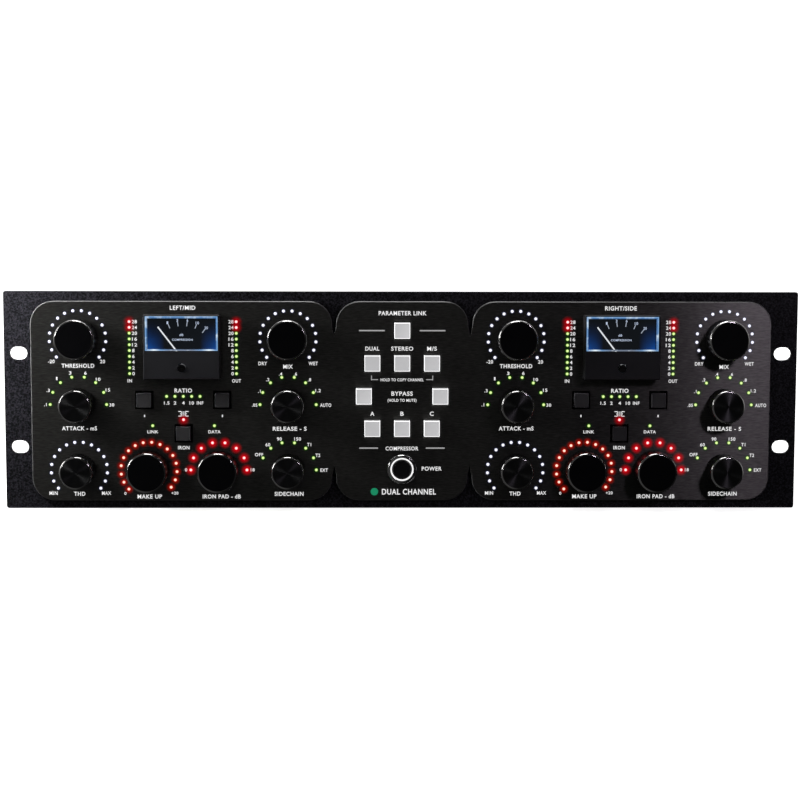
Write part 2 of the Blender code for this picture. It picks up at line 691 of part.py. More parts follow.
def encoder_mesh():
    """An endless encoder standing on a board at y = 0: its body, threaded bushing and shaft."""
    bushing_end = -CONTROL_BOARD_DEPTH
    shaft_end = KNOB_FRONT + KNOB_HEIGHT - KNOB_BORE_DEPTH + GAP - CONTROL_BOARD_DEPTH
    into_board = BOARD_THICKNESS / 2
    profile = [
        (0, shaft_end),
        (SHAFT_RADIUS, shaft_end),
        (SHAFT_RADIUS, bushing_end),
        (BUSHING_RADIUS, bushing_end),
        (BUSHING_RADIUS, -ENCODER_BODY),
        (ENCODER_RADIUS, -ENCODER_BODY),
        (ENCODER_RADIUS, into_board),
        (0, into_board),
    ]
    return turned("encoder", profile, 8)


def switch_mesh():
    """A push switch standing on a board at y = 0, with the bore that a button's plunger slides in."""
    bore = PLUNGER_HALF + RUNNING_GAP
    into_board = BOARD_THICKNESS / 2
    profile = [
        (0, SWITCH_BORE_DEPTH - SWITCH_LENGTH),
        (bore, SWITCH_BORE_DEPTH - SWITCH_LENGTH),
        (bore, -SWITCH_LENGTH),
        (SWITCH_HALF, -SWITCH_LENGTH),
        (SWITCH_HALF, into_board),
        (0, into_board),
    ]
    return turned("switch", profile, 4)


def spacer_mesh(length, axis):
    """A spacer that ends just short of the plate it is screwed to, at -length."""
    foot, into_board = GAP - length, BOARD_THICKNESS / 2
    profile = [(0, foot), (SPACER_RADIUS, foot), (SPACER_RADIUS, into_board), (0, into_board)]
    return turned("spacer", profile, 6, axis)


def make_control_board(front, finish):
    holes = [circle((0, POWER_BUTTON_Z), POWER_BARREL_RADIUS + 2 * GAP, 16)]
    for sign in SIDES.values():
        size = (METER_BARREL_WIDTH + 4 * GAP, METER_BARREL_HEIGHT + 4 * GAP)
        holes.append(rectangle((sign * CHANNEL_X, METER_Z), *size))
    outline = rectangle((0, 0), CONTROL_BOARD_WIDTH, CONTROL_BOARD_HEIGHT)
    board = plate("board", outline, holes, BOARD_THICKNESS)
    encoder, switch = encoder_mesh(), switch_mesh()
    spacer = spacer_mesh(CONTROL_BOARD_DEPTH - PANEL_THICKNESS, "Y")
    spacer_x = CONTROL_BOARD_WIDTH / 2 - 2 * SPACER_RADIUS
    spacer_z = CONTROL_BOARD_HEIGHT / 2 - 2 * SPACER_RADIUS
    fittings = [moved(encoder, (x, 0, z)) for _, x, z, _ in knob_places()]
    fittings += [moved(switch, (x, 0, z)) for _, x, z, _ in button_places()]
    spacer_xs = (-spacer_x, -MIDDLE_SPACER_X, MIDDLE_SPACER_X, spacer_x)
    fittings += [moved(spacer, (x, 0, sz * spacer_z)) for x in spacer_xs for sz in (-1, 1)]
    mesh = combined("control_board", board, [("UNION", gathered("fittings", fittings))])
    place("control_board", mesh, finish, (0, CONTROL_BOARD_DEPTH, 0), front)


def standing(name, size):
    """A box of (width, depth, height) that stands a little into its board, whose face is at z = 0."""
    width, depth, height = size
    return block(name, (-width / 2, -depth / 2, -BOARD_THICKNESS / 2), (width / 2, depth / 2, height))


def heat_sink_mesh():
    """A comb of upright fins on a base, standing a little into its board."""
    half = ((HEAT_SINK_FINS - 1) * HEAT_SINK_PITCH + HEAT_SINK_FIN_WIDTH) / 2
    base, top = HEAT_SINK_BASE, HEAT_SINK_HEIGHT
    comb = []
    for number in range(HEAT_SINK_FINS):
        left = -half + number * HEAT_SINK_PITCH
        right = left + HEAT_SINK_FIN_WIDTH
        comb += [(left, base), (left, top), (right, top), (right, base)]
    foot_z = -BOARD_THICKNESS / 2
    outline = [(-half, foot_z), *comb[1:-1], (half, foot_z)]
    return plate("heat_sink", outline, [], HEAT_SINK_DEPTH, -HEAT_SINK_DEPTH / 2)


def row_of(mesh, row):
    """Copies of a mesh along X, as (first x, y, pitch, count)."""
    first, y, pitch, count = row
    return [moved(mesh, (first + pitch * number, y, 0)) for number in range(count)]


def make_audio_board(finish):
    """The main board, flat above the bottom plate: amplifier modules, relays, capacitors and a heat sink."""
    half_x, half_y = AUDIO_BOARD_SIZE[0] / 2, AUDIO_BOARD_SIZE[1] / 2
    board = block("board", (-half_x, -half_y, -BOARD_THICKNESS), (half_x, half_y, 0))
    sunk = -BOARD_THICKNESS / 2
    can = [(0, CAPACITOR_HEIGHT), (CAPACITOR_RADIUS, CAPACITOR_HEIGHT), (CAPACITOR_RADIUS, sunk), (0, sunk)]
    capacitor = turned("capacitor", can, 10, "Z")
    spacer_foot = GAP - AUDIO_BOARD_LIFT - BOARD_THICKNESS
    pillar = [(0, sunk), (SPACER_RADIUS, sunk), (SPACER_RADIUS, spacer_foot), (0, spacer_foot)]
    spacer = turned("spacer", pillar, 6, "Z")
    module, relay = standing("module", MODULE_SIZE), standing("relay", RELAY_SIZE)
    fittings = [copy for row in MODULE_ROWS for copy in row_of(module, row)]
    fittings += row_of(relay, RELAY_ROW) + row_of(capacitor, CAPACITOR_ROW)
    fittings.append(moved(heat_sink_mesh(), (*HEAT_SINK_PLACE, 0)))
    corner = (half_x - 2 * SPACER_RADIUS, half_y - 2 * SPACER_RADIUS)
    fittings += [moved(spacer, (sx * corner[0], sy * corner[1], 0)) for sx in (-1, 1) for sy in (-1, 1)]
    mesh = combined("audio_board", board, [("UNION", gathered("fittings", fittings))])
    place("audio_board", mesh, finish, (*AUDIO_BOARD_CENTRE, AUDIO_BOARD_TOP_Z))


def make_output_transformers(finish):
    """A square can on its foot for each channel, standing on the main board."""
    half, height, foot = OUTPUT_TRANSFORMER_HALF, OUTPUT_TRANSFORMER_HEIGHT, OUTPUT_TRANSFORMER_FOOT
    profile = [
        (0, height), (half - foot, height), (half, height - foot), (half, foot), (half + foot, foot),
        (half + foot, 0), (0, 0),
    ]
    mesh = turned("output_transformer", profile, 4, "Z")
    first, row_y, pitch = OUTPUT_TRANSFORMER_ROW
    for number, side in enumerate(SIDES):
        x, y = AUDIO_BOARD_CENTRE[0] + first + pitch * number, AUDIO_BOARD_CENTRE[1] + row_y
        place(f"{side}_output_transformer", mesh, finish, (x, y, AUDIO_BOARD_TOP_Z + GAP))


def make_power_transformer(finish):
    """A toroid under its washer and bolt."""
    rounding_middle = TOROID_RADIUS - TOROID_ROUNDING
    rim = arc((rounding_middle, TOROID_HEIGHT - TOROID_ROUNDING), TOROID_ROUNDING, 90, 0, 3)
    foot = arc((rounding_middle, TOROID_ROUNDING), TOROID_ROUNDING, 0, -90, 3)
    washer_top = TOROID_HEIGHT + TOROID_WASHER_THICKNESS
    bolt_top = washer_top + TOROID_BOLT_HEIGHT
    bolt = [(0, bolt_top), (TOROID_BOLT_RADIUS, bolt_top), (TOROID_BOLT_RADIUS, washer_top)]
    washer = [(TOROID_WASHER_RADIUS, washer_top), (TOROID_WASHER_RADIUS, TOROID_HEIGHT)]
    mesh = turned("power_transformer", [*bolt, *washer, *rim, *foot, (0, 0)], 20, "Z")
    place("power_transformer", mesh, finish, (*TOROID_PLACE, FLOOR_TOP_Z + GAP))


# ---------------------------------------------------------------- case

def make_case(steel, side_finish):
    """Bottom plate, top cover, two side plates and the rear panel, which stands between the plates."""
    half, inner_front = CASE_WIDTH / 2, PANEL_Y + PANEL_THICKNESS + GAP
    rear_face = PANEL_Y + REAR_DEPTH
    rear_inner = rear_face - REAR_THICKNESS
    top_z = CASE_BOTTOM_Z + CASE_HEIGHT
    bottom = block("bottom_plate", (-half, inner_front, CASE_BOTTOM_Z), (half, rear_face, FLOOR_TOP_Z))
    place("bottom_plate", bottom, steel, (0, 0, 0))
    top = top_cover_mesh(rear_face - inner_front)
    place("top_cover", top, steel, (0, (inner_front + rear_face) / 2, top_z))
    low_z, high_z = FLOOR_TOP_Z + GAP, top_z - COVER_THICKNESS - GAP
    for side, sign in SIDES.items():
        inner, outer = sorted((sign * half, sign * (half - SIDE_THICKNESS)))
        low, high = (inner, inner_front, low_z), (outer, rear_inner - GAP, high_z)
        mesh = block(f"{side}_side_plate", low, high, SIDE_CHAMFER)
        place(f"{side}_side_plate", mesh, side_finish, (0, 0, 0))
    holes = [circle((x, CONNECTOR_ROW_Z), CONNECTOR_BARREL_RADIUS + GAP, 16) for x in rear_connector_xs()]
    holes.append(rectangle((-INLET_X, CONNECTOR_ROW_Z), INLET_BODY[0] + 2 * GAP, INLET_BODY[1] + 2 * GAP))
    outline = rectangle((0, 0), CASE_WIDTH, high_z - low_z)
    rear = plate("rear_panel", outline, holes, REAR_THICKNESS)
    place("rear_panel", rear, steel, (0, rear_face, CASE_MIDDLE_Z), turn=math.pi)


def top_cover_mesh(depth):
    """A flat cover with rows of ventilation slots towards the back, its top at z = 0."""
    row_half = (VENT_COUNT - 1) * VENT_PITCH / 2
    slots = []
    for row in VENT_ROWS:
        for number in range(VENT_COUNT):
            x = number * VENT_PITCH - row_half
            slots.append([(x + a, row + b) for b, a in stadium((0, 0), VENT_LENGTH, VENT_WIDTH, 2)])
    mesh = plate("top_cover", rectangle((0, 0), CASE_WIDTH, depth), slots, COVER_THICKNESS)
    # Laid flat: the plate's height becomes depth towards the back, and its front face the top
    mesh.transform(Matrix.Rotation(-math.pi / 2, 4, "X"))
    return mesh


# ---------------------------------------------------------------- rear connectors, made facing -Y

def rear_connector_xs():
    """Where the round connectors are, seen with the rear panel facing -Y."""
    return [-x for x in (*OUTPUT_CONNECTOR_X.values(), *INPUT_CONNECTOR_X.values())]


def contacts(radius, length, front):
    """Three round contacts at the corners of a triangle, from y = front backwards."""
    profile = [(0, front), (radius, front), (radius, front + length), (0, front + length)]
    pin = turned("contact", profile, 8)
    places = circle((0, 0), CONTACT_CIRCLE_RADIUS, 3)
    return gathered("contacts", [moved(pin, (z, 0, x)) for x, z in places])


def connector_mesh(name, hollow_profile, contact_operation, contact_front):
    """A square-flanged round connector: flange, barrel, the hollow turned into it, and its contacts."""
    square = rectangle((0, 0), *CONNECTOR_FLANGE, CONNECTOR_FLANGE_ROUNDING, 3)
    flange = plate("flange", square, [], CONNECTOR_FLANGE_THICKNESS)
    barrel_end = CONNECTOR_FLANGE_THICKNESS + CONNECTOR_BARREL_LENGTH
    barrel_start = CONNECTOR_FLANGE_THICKNESS / 2
    radius = CONNECTOR_BARREL_RADIUS
    barrel_profile = [(0, barrel_start), (radius, barrel_start), (radius, barrel_end), (0, barrel_end)]
    steps = [
        ("UNION", turned("barrel", barrel_profile, 16)),
        ("DIFFERENCE", turned("hollow", hollow_profile, 20)),
        (contact_operation, contacts(CONTACT_RADIUS, CONTACT_LENGTH, contact_front)),
    ]
    return combined(name, flange, steps)


def make_connectors(shell_finish, black):
    groove = [
        (SOCKET_CORE_RADIUS, -GAP), (SOCKET_RADIUS, -GAP), (SOCKET_RADIUS, SOCKET_DEPTH),
        (SOCKET_CORE_RADIUS, SOCKET_DEPTH), (SOCKET_CORE_RADIUS, -GAP),
    ]
    cup = [(0, -GAP), (PLUG_CUP_RADIUS, -GAP), (PLUG_CUP_RADIUS, SOCKET_DEPTH), (0, SOCKET_DEPTH)]
    socket = connector_mesh("input_connector", groove, "DIFFERENCE", -GAP)
    plug = connector_mesh("output_connector", cup, "UNION", SOCKET_DEPTH - CONTACT_LENGTH + GAP)
    y, z = PANEL_Y + REAR_END, CASE_MIDDLE_Z + CONNECTOR_ROW_Z
    for side in SIDES:
        place(f"{side}_input_connector", socket, shell_finish, (INPUT_CONNECTOR_X[side], y, z), turn=math.pi)
        place(f"{side}_output_connector", plug, shell_finish, (OUTPUT_CONNECTOR_X[side], y, z), turn=math.pi)
    place("mains_inlet", inlet_mesh(), black, (INLET_X, y, z), turn=math.pi)


def inlet_mesh():
    """The mains inlet: a flange, a body with a recess in it, and three blades in the recess."""
    thickness = CONNECTOR_FLANGE_THICKNESS
    body_length = INLET_BODY_LENGTH + thickness / 2
    flange = plate("flange", rectangle((0, 0), *INLET_FLANGE, INLET_FLANGE_ROUNDING, 3), [], thickness)
    body = plate("body", rectangle((0, 0), *INLET_BODY, INLET_BODY_ROUNDING), [], body_length, thickness / 2)
    hollow = rectangle((0, 0), *INLET_RECESS, INLET_RECESS_ROUNDING)
    recess = plate("recess", hollow, [], SOCKET_DEPTH + GAP, -GAP)
    front = SOCKET_DEPTH - CONTACT_LENGTH + GAP
    sections = [rectangle(centre, *INLET_BLADE_SIZE) for centre in INLET_BLADES]
    blades = [plate("blade", section, [], CONTACT_LENGTH, front) for section in sections]
    steps = [("UNION", body), ("DIFFERENCE", recess), ("UNION", gathered("blades", blades))]
    return combined("mains_inlet", flange, steps)


def main():
    clear_scene()
    front = empty("front", (0, PANEL_Y, PANEL_MIDDLE_Z))
    powder_black = material("powder_black", (0.022, 0.02, 0.024), 0.6)
    brushed_black = material("brushed_black", (0.02, 0.02, 0.018), 0.38, 0.8)
    knob_black = material("knob_black", (0.008, 0.008, 0.009), 0.22, 0.6)
    cap_white = material("cap_white", (0.62, 0.62, 0.62), 0.4)
    cap_black = material("cap_black", (0.035, 0.034, 0.04), 0.45)
    plastic_black = material("plastic_black", (0.012, 0.012, 0.013), 0.4)
    dial_blue = material("dial_blue", (0.01, 0.03, 0.09), 0.5)
    clear = material("clear", (0.9, 0.95, 1.0), 0.05, alpha=0.2)
    needle_white = material("needle_white", (0.9, 0.93, 1.0), 0.4)
    steel_black = material("steel_black", (0.03, 0.03, 0.032), 0.55, 0.3)
    side_black = material("side_black", (0.05, 0.05, 0.052), 0.4, 0.9)
    board_black = material("board_black", (0.012, 0.014, 0.013), 0.45)
    board_green = material("board_green", (0.01, 0.12, 0.04), 0.4)
    transformer_grey = material("transformer_grey", (0.35, 0.35, 0.36), 0.35, 0.9)
    winding_yellow = material("winding_yellow", (0.55, 0.36, 0.05), 0.5)
    connector_nickel = material("connector_nickel", (0.4, 0.4, 0.41), 0.3, 0.9)

    make_front_panel(front, powder_black)
    make_faceplate(front, brushed_black)
    make_knobs(front, knob_black)
    make_buttons(front, cap_white, cap_black)
    make_power_button(front, plastic_black)
    make_meters(front, plastic_black, dial_blue, clear, needle_white)
    make_control_board(front, board_black)
    make_audio_board(board_green)
    make_output_transformers(transformer_grey)
    make_power_transformer(winding_yellow)
    make_case(steel_black, side_black)
    make_connectors(connector_nickel, plastic_black)


main()
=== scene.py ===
"""The looks of the rack compressor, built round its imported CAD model.

Units are metres, +X to the right along the front, +Z up, and the front faces -Y. Sizes of new
pieces are named here, and their places come from the CAD nodes' boxes. Print, diodes and the
power button's light lie on the faceplate. Pieces that turn or slide stand for their CAD nodes
and ride on them.
"""

import json
import math

import bmesh
import bpy
from mathutils import Matrix, Quaternion, Vector


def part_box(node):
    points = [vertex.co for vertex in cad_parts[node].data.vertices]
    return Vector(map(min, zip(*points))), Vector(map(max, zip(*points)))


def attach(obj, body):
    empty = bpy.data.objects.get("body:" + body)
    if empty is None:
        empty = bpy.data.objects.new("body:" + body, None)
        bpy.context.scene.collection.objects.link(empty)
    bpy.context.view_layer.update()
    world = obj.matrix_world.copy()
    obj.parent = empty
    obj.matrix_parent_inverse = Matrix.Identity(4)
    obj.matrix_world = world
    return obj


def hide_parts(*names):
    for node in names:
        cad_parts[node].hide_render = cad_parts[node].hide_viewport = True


CHASSIS = "chassis"
SIDES = ("left", "right")
MM = 0.001
WHITE = (1.0, 1.0, 1.0)
MERGE_DISTANCE = 1e-6
ARC_LIMIT = 2.2  # a rounding's arc starts at most an edge's length divided by this from the corner

# Diodes, and the light they scatter on the plate round them
RING_RADIUS = 0.01705
LED_RADIUS = 0.00092
LED_PROUD = 0.00035
LED_SIDES = 16
LED_DOME = (0.0, 0.4, 0.8, 1.2, math.pi / 2)
LED_DOME_GLOW = (1.0, 1.0, 0.75, 0.3, 0.0)
HALO_START = 0.7  # where the scattered light starts, as a share of the lens's radius
HALO_LIFT = 0.00004
HALO_STEPS = 6
LEVEL_X, LEVEL_TOP_Z, LEVEL_PITCH = 0.0323, 0.04795, 0.0035
LEVEL_COUNT, LEVEL_RED = 10, 2
RATIO_PITCH, RATIO_Z = 0.00505, 0.0026
STATUS_X, STATUS_Z = 0.0187, -0.0153
IRON_LAMP_Z = -0.0116
LENSES = {  # colour of the edge, colour of the middle, strength
    "white": ((0.72, 0.75, 1.0), WHITE, 1.1),
    "green": ((0.16, 0.5, 0.02), (0.85, 1.0, 0.42), 1.05),
    "pink": ((1.0, 0.1, 0.05), (1.0, 0.85, 0.7), 1.15),
    "red": ((1.0, 0.06, 0.07), (1.0, 0.82, 0.82), 1.2),
}
DIODES = {  # lens, and the scattered light's colour, strength, density, fading and radius
    "white": ("white", (0.2, 0.22, 0.5), 0.3, 0.4, 1.8, 0.002),
    "green": ("green", (0.03, 0.25, 0.0), 0.4, 0.6, 1.8, 0.0022),
    "pink": ("pink", (0.8, 0.01, 0.0), 0.6, 0.9, 2.0, 0.0034),
    "level_red": ("red", (1.0, 0.0, 0.01), 0.6, 0.9, 2.1, 0.0043),
    "red": ("red", (1.0, 0.0, 0.01), 0.85, 0.9, 2.0, 0.0042),
}

# Rings of diodes: first and last angle, clockwise from straight up, their number and their colour
FULL_RING = (-131.0, 131.0, 16)
MAKE_UP_RING = (-133.6, 128.4, 16)
HALF_RING = (-90.0, 90.0, 8)
SIDECHAIN_RING = (-64.3, 90.0, 7)
RINGS = {
    "threshold": (FULL_RING, "white"),
    "mix": (FULL_RING, "white"),
    "thd": (FULL_RING, "white"),
    "attack": (HALF_RING, "green"),
    "release": (HALF_RING, "green"),
    "sidechain": (SIDECHAIN_RING, "green"),
    "make_up": (MAKE_UP_RING, "pink"),
    "iron_pad": (HALF_RING, "red"),
}

# Knobs
KNOB_RIM = 0.00075
KNOB_RIM_FLAT = 0.0006
KNOB_RIM_SOFT = 0.00035
KNOB_WALL_START = 0.0012
KNOB_FOOT = 0.0004
KNOB_BORE_SHARE = 0.32
KNOB_BORE_DEPTH = 0.004
KNOB_SEGMENTS = 96
SMALL_KNOB_LIMIT = 0.011  # a knob with a smaller radius has a turned metal face

# Front plates
PANEL_CHAMFER = 0.0003
PLATE_CHAMFER = 0.00045
LEAST_MITRE = 0.5  # keeps the chamfer from running out beyond the notches' points
FRONT_NORMAL = -0.99  # a face points to the front if its normal's y is less
SLOPE_NORMAL = -0.1  # and it is a part of the chamfer if that is between these two

# Square buttons
CAP_DEPTH = 0.0068
CAP_GAP = 0.0003  # by which a cap is inside its node's box on each side
CAP_STYLES = {  # width of the border round the face, rounding of the edges, depth of the face
    "light": (0.0008, 0.0003, 0.00012),
    "dark": (0.0005, 0.0004, 0.00012),
}
PLUNGER = 0.0015  # half its width
PLUNGER_OVERLAP = 0.0002

# Power button: radii and depths of the lit ring, the bezel and the cap
RING_IN, RING_OUT = 0.00615, 0.0069
RING_FRONT, RING_BACK = 0.0002, 0.0007
BEZEL_BORE, BEZEL_BORE_DEPTH = 0.0061, 0.016
BEZEL_SEAT = 0.0006  # depth of the lit ring's seat
BEZEL_LIP = 0.0002  # width of the slope round that seat
BEZEL_FALL, BEZEL_FALL_DEPTH = 0.0007, 0.0003  # where the front starts to fall away to the rim
BEZEL_RIM_DEPTH = 0.001
BEZEL_BARREL, BEZEL_FLANGE = 0.0078, 0.0022
BEZEL_SOFT, POWER_SOFT = 0.0002, 0.0003
POWER_DISH, POWER_DISH_DEPTH = 0.8, 0.0002  # the dish's radius is a share of the cap's
POWER_EDGE, POWER_EDGE_DEPTH = 0.0003, 0.0005
POWER_SEGMENTS = 72

# Print. Words are (text, x, z, height, width) in millimetres, about a knob's middle
PRINT_LIFT = 0.00003
LETTER_WEIGHT = 0.02
LETTER_SPACING = 1.12
KNOB_WORDS = {
    "threshold": [
        ("THRESHOLD", 0, -16.4, 2.4, 19.8), ("-20", -16.0, -13.8, 2.1, 4.0), ("20", 14.9, -13.8, 2.1, 3.0),
    ],
    "attack": [
        ("ATTACK - mS", 0.4, -14.5, 2.4, 21.2),
        (".1", -20.0, 0.0, 1.9, 1.6), (".3", -18.2, 8.6, 1.9, 2.0), ("1", -12.9, 15.9, 1.9, 0.9),
        ("3", -4.7, 19.2, 1.9, 1.5), ("6", 4.5, 19.2, 1.9, 1.5), ("10", 12.1, 15.4, 1.9, 2.8),
        ("15", 17.9, 8.9, 1.9, 2.7), ("30", 20.2, -0.2, 1.9, 2.9),
    ],
    "release": [
        ("RELEASE - S", 0.9, -14.7, 2.4, 20.6),
        (".05", -20.3, -0.3, 1.9, 3.2), (".1", -17.4, 8.2, 1.9, 1.6), (".2", -12.3, 15.3, 1.9, 2.0),
        (".4", -4.5, 18.7, 1.9, 2.0), (".6", 4.5, 18.7, 1.9, 2.0), (".8", 13.0, 15.2, 1.9, 2.0),
        ("1.2", 18.2, 8.6, 1.9, 3.3), ("AUTO", 22.8, -0.3, 2.1, 6.8),
    ],
    "thd": [
        ("THD", 0, -14.6, 2.4, 6.8), ("MIN", -15.9, -14.2, 2.1, 5.0), ("MAX", 16.3, -14.2, 2.1, 5.6),
    ],
    "make_up": [
        ("MAKE UP", 0.3, -16.3, 2.4, 14.9), ("0", -14.5, -14.4, 1.7, 1.3), ("+20", 15.6, -14.2, 1.7, 4.2),
    ],
    "iron_pad": [
        ("IRON PAD - dB", 1.6, -16.3, 2.4, 23.2), ("0", -20.0, 0.1, 1.9, 1.4), ("18", 20.5, 0.1, 1.9, 2.4),
    ],
    "mix": [
        ("MIX", 0, -16.8, 2.4, 5.8), ("DRY", -15.3, -14.9, 2.1, 5.2), ("WET", 15.3, -14.9, 2.1, 5.6),
    ],
    "sidechain": [
        ("SIDECHAIN", 0.4, -14.7, 2.4, 17.6), ("OFF", -17.8, 9.4, 2.0, 5.0),
        ("60", -12.4, 15.5, 2.0, 2.9), ("90", -5.4, 19.0, 2.0, 2.9), ("150", 5.7, 19.0, 2.0, 4.1),
        ("T1", 12.7, 15.6, 2.0, 2.5), ("T2", 18.0, 9.0, 2.0, 2.8), ("EXT", 21.8, -0.1, 2.0, 4.6),
    ],
}
# About the channel's middle, halfway up the panel
CHANNEL_WORDS = [
    ("IN", -32.3, 12.1, 2.0, 2.7), ("OUT", 32.3, 12.1, 2.0, 5.4), ("RATIO", 0, 6.2, 2.4, 10.6),
    ("LINK", -18.7, -19.0, 1.8, 6.6), ("DATA", 18.7, -19.0, 1.8, 7.4), ("IRON", 0, -28.7, 2.1, 7.0),
]
LEVEL_WORDS = ("28", "24", "20", "16", "12", "8", "6", "4", "2", "0")
RATIO_WORDS = (("1.5", 3.3), ("2", 1.5), ("4", 1.6), ("10", 2.7), ("INF", 4.0))
LEVEL_WORD_GAP, LEVEL_WORD_HEIGHT = 0.0016, 0.002  # the gap is from the diodes' middles
LEVEL_WORD_WIDTHS = (0.0015, 0.0031)  # of one digit and of two
RATIO_WORD_Z, RATIO_WORD_HEIGHT = -0.0014, 0.0019
# The small tick below each button beside the ratio row, about the button
STEP_MARK_Z, STEP_MARK_WIDTH = (-0.0104, -0.009), 0.0007
CHANNEL_TITLE = {"left": "LEFT/MID", "right": "RIGHT/SIDE"}
TITLE_Z, TITLE_HEIGHT = 0.0564, 0.0025
TITLE_LETTER = 0.00193  # width of one letter of a channel's title
SYMBOL_Z = -0.008
# About the middle of the panel
MIDDLE_WORDS = [
    ("PARAMETER LINK", 0.2, 53.3, 2.5, 29.0),
    ("DUAL", -18.1, 31.8, 2.4, 8.5), ("STEREO", 0, 31.8, 2.4, 13.4), ("M/S", 18.1, 31.8, 2.4, 5.9),
    ("HOLD TO COPY CHANNEL", 0, 12.8, 1.7, 26.2),
    ("BYPASS", 0, 4.4, 2.5, 13.0), ("(HOLD TO MUTE)", 0, 0.3, 1.7, 17.6),
    ("A", -18.1, -7.9, 2.5, 2.5), ("B", 0, -7.9, 2.5, 2.1), ("C", 18.1, -7.9, 2.5, 2.4),
    ("COMPRESSOR", 0, -29.2, 2.3, 20.0), ("POWER", 18.2, -41.6, 2.4, 12.2),
    ("DUAL CHANNEL", 4.3, -55.8, 3.4, 33.0),
]
# Lines as (x0, z0, x1, z1, thickness), in millimetres, each of which has its mirror image
SYMBOL_LINES = [
    (0.35, -1.5, 0.35, 1.5, 0.3), (1.2, -1.4, 3.1, -1.4, 0.45), (1.2, 1.4, 3.1, 1.4, 0.45),
]
# The turns of the transformer symbol's windings: their middles' heights, and for each the distance
# from the symbol's middle, the reach inwards, half the height and the thickness
SYMBOL_TURNS, SYMBOL_TURN, SYMBOL_STEPS = (0.7, -0.7), (1.9, 0.75, 0.7, 0.4), 6
MIDDLE_LINES = [
    (10.6, 42.7, 26.2, 42.7, 0.8), (14.6, -29.0, 26.0, -29.0, 0.8),
    (14.6, 12.9, 18.6, 12.9, 0.5), (18.6, 12.5, 18.6, 15.4, 0.5),
]
# A plain dot beside the lowest words: x, z and radius in millimetres
GREEN_DOT = (-16.8, -55.8, 2.3)
DOT_SIDES = 32

# Meters
BORDER_TOP, BORDER_BOTTOM, BORDER_OUTER, BORDER_INNER = 0.0012, 0.0009, 0.0013, 0.001
BORDER_LINE = 0.00045  # the whiter line round its outside
BORDER_DEPTH = 0.0006  # how far the border slopes back to the clear part
DIAL_THICKNESS = 0.0006
TICK_LENGTH, TICK_WIDTH = 0.0027, 0.00045
SCALE_RADIUS, SCALE_FIRST_DEG, SCALE_STEP_DEG = 0.0195, -37.5, 15.1
SCALE_NUMBERS = ("1", "3", "6", "10", "20")  # at rest the needle stands where a mark for 0 would be
SCALE_NUMBER_OUT, SCALE_NUMBER_UP = 0.0012, 0.0009  # from the mark's end
SCALE_NUMBER_HEIGHT, SCALE_DIGIT_WIDTH = 0.0016, 0.001
DIAL_WORDS = [("dB", -0.6, 14.1, 1.3, 2.4), ("COMPRESSION", 0, 11.2, 1.2, 12.5)]  # about the needle's pivot
DIAL_DARK, DIAL_BLUE = (0.006, 0.0072, 0.0085), (0.009, 0.1, 0.46)
DIAL_BLUE_FALL = 2.7  # how fast the blue fades upwards
# Shares of half the window's width: where the dial's blue starts and is full, where a lamp is, how far
# its white reaches, and where the border's grey starts and ends
DIAL_BLUE_REACH = (0.5, 1.05)
LAMP_PLACE, LAMP_REACH = 0.76, 0.18
GREY_REACH = (0.3, 0.6)
BORDER_LOOKS = {  # blue, white and grey
    "border": ((0.06, 0.16, 0.36), (0.7, 0.86, 1.0), (0.07, 0.09, 0.13)),
    "line": ((0.2, 0.38, 0.64), (0.9, 0.98, 1.0), (0.22, 0.26, 0.34)),
}

# Screw heads: the section in shares of the radius and height, and which of its rings are the socket
SCREW_RADIUS, SCREW_HEIGHT = 0.0028, 0.0013
SCREW_SECTION = [
    (0, 0.3), (0.5, 0.3), (0.5, 1.0), (0.72, 0.92), (0.9, 0.7), (1.0, 0.3), (1.0, 0), (0, 0),
]
SCREW_SOCKET, SCREW_SIDES = (1, 2), 24
# Where they are: distances from an edge, and shares of the way from one edge to the other
COVER_SCREWS_IN, COVER_SCREWS_ALONG = 0.007, (0.06, 0.5, 0.94)
REAR_SCREWS_IN, REAR_SCREWS_ALONG = 0.006, (0.02, 0.34, 0.66, 0.98)
SIDE_SCREWS_ALONG, SIDE_SCREWS_UP = (0.05, 0.95), (0.12, 0.88)

# Rear labels, and the connectors' black inserts
REAR_WORDS = {"input": "IN", "output": "OUT"}
REAR_WORD_RISE, REAR_WORD_HEIGHT = 0.006, 0.003
REAR_LETTER, MAINS_WIDTH = 0.0022, 0.013
INSERT_RADIUS = {"input": 0.0068, "output": 0.0079}

# Boards: where the solder mask ends and the parts on it begin
AUDIO_BOARD_FACE = 0.0121  # above the feet of its spacers
CONTROL_BOARD_FACE = 0.0017  # in front of its back

# Camera: level, aimed a little beside the middle of the front panel's face, and turned a little
CAMERA_OFFSET = (-0.0221, -1.0846, 0.1027)
CAMERA_AIM = (-0.0012, 0.0, 0.0002)
CAMERA_ROLL_DEG = 0.134
CAMERA_LENS, CAMERA_SENSOR = 80.4, 36.0

# The pale floor: radius of its flat part, of the bend round it, and height of the wall above that
FLOOR_RADIUS, FLOOR_BEND, FLOOR_WALL = 3.0, 1.0, 4.0
FLOOR_BEND_STEPS, FLOOR_SIDES = 12, 96
FLOOR_DROP = 0.0002  # by which it lies under the feet
FLOOR_GLOW = 0.86

# The world's brightness in front of the panel falls from left to right, and behind it it rises upwards
WORLD_FRONT, WORLD_FRONT_X = (0.05, 0.008), (-0.2, 0.15)
WORLD_BEHIND, WORLD_BEHIND_Y, WORLD_BEHIND_Z = 0.8, (0.0, 0.45), (-0.35, 0.1)

MAUVE = (1.0, 0.88, 1.06)
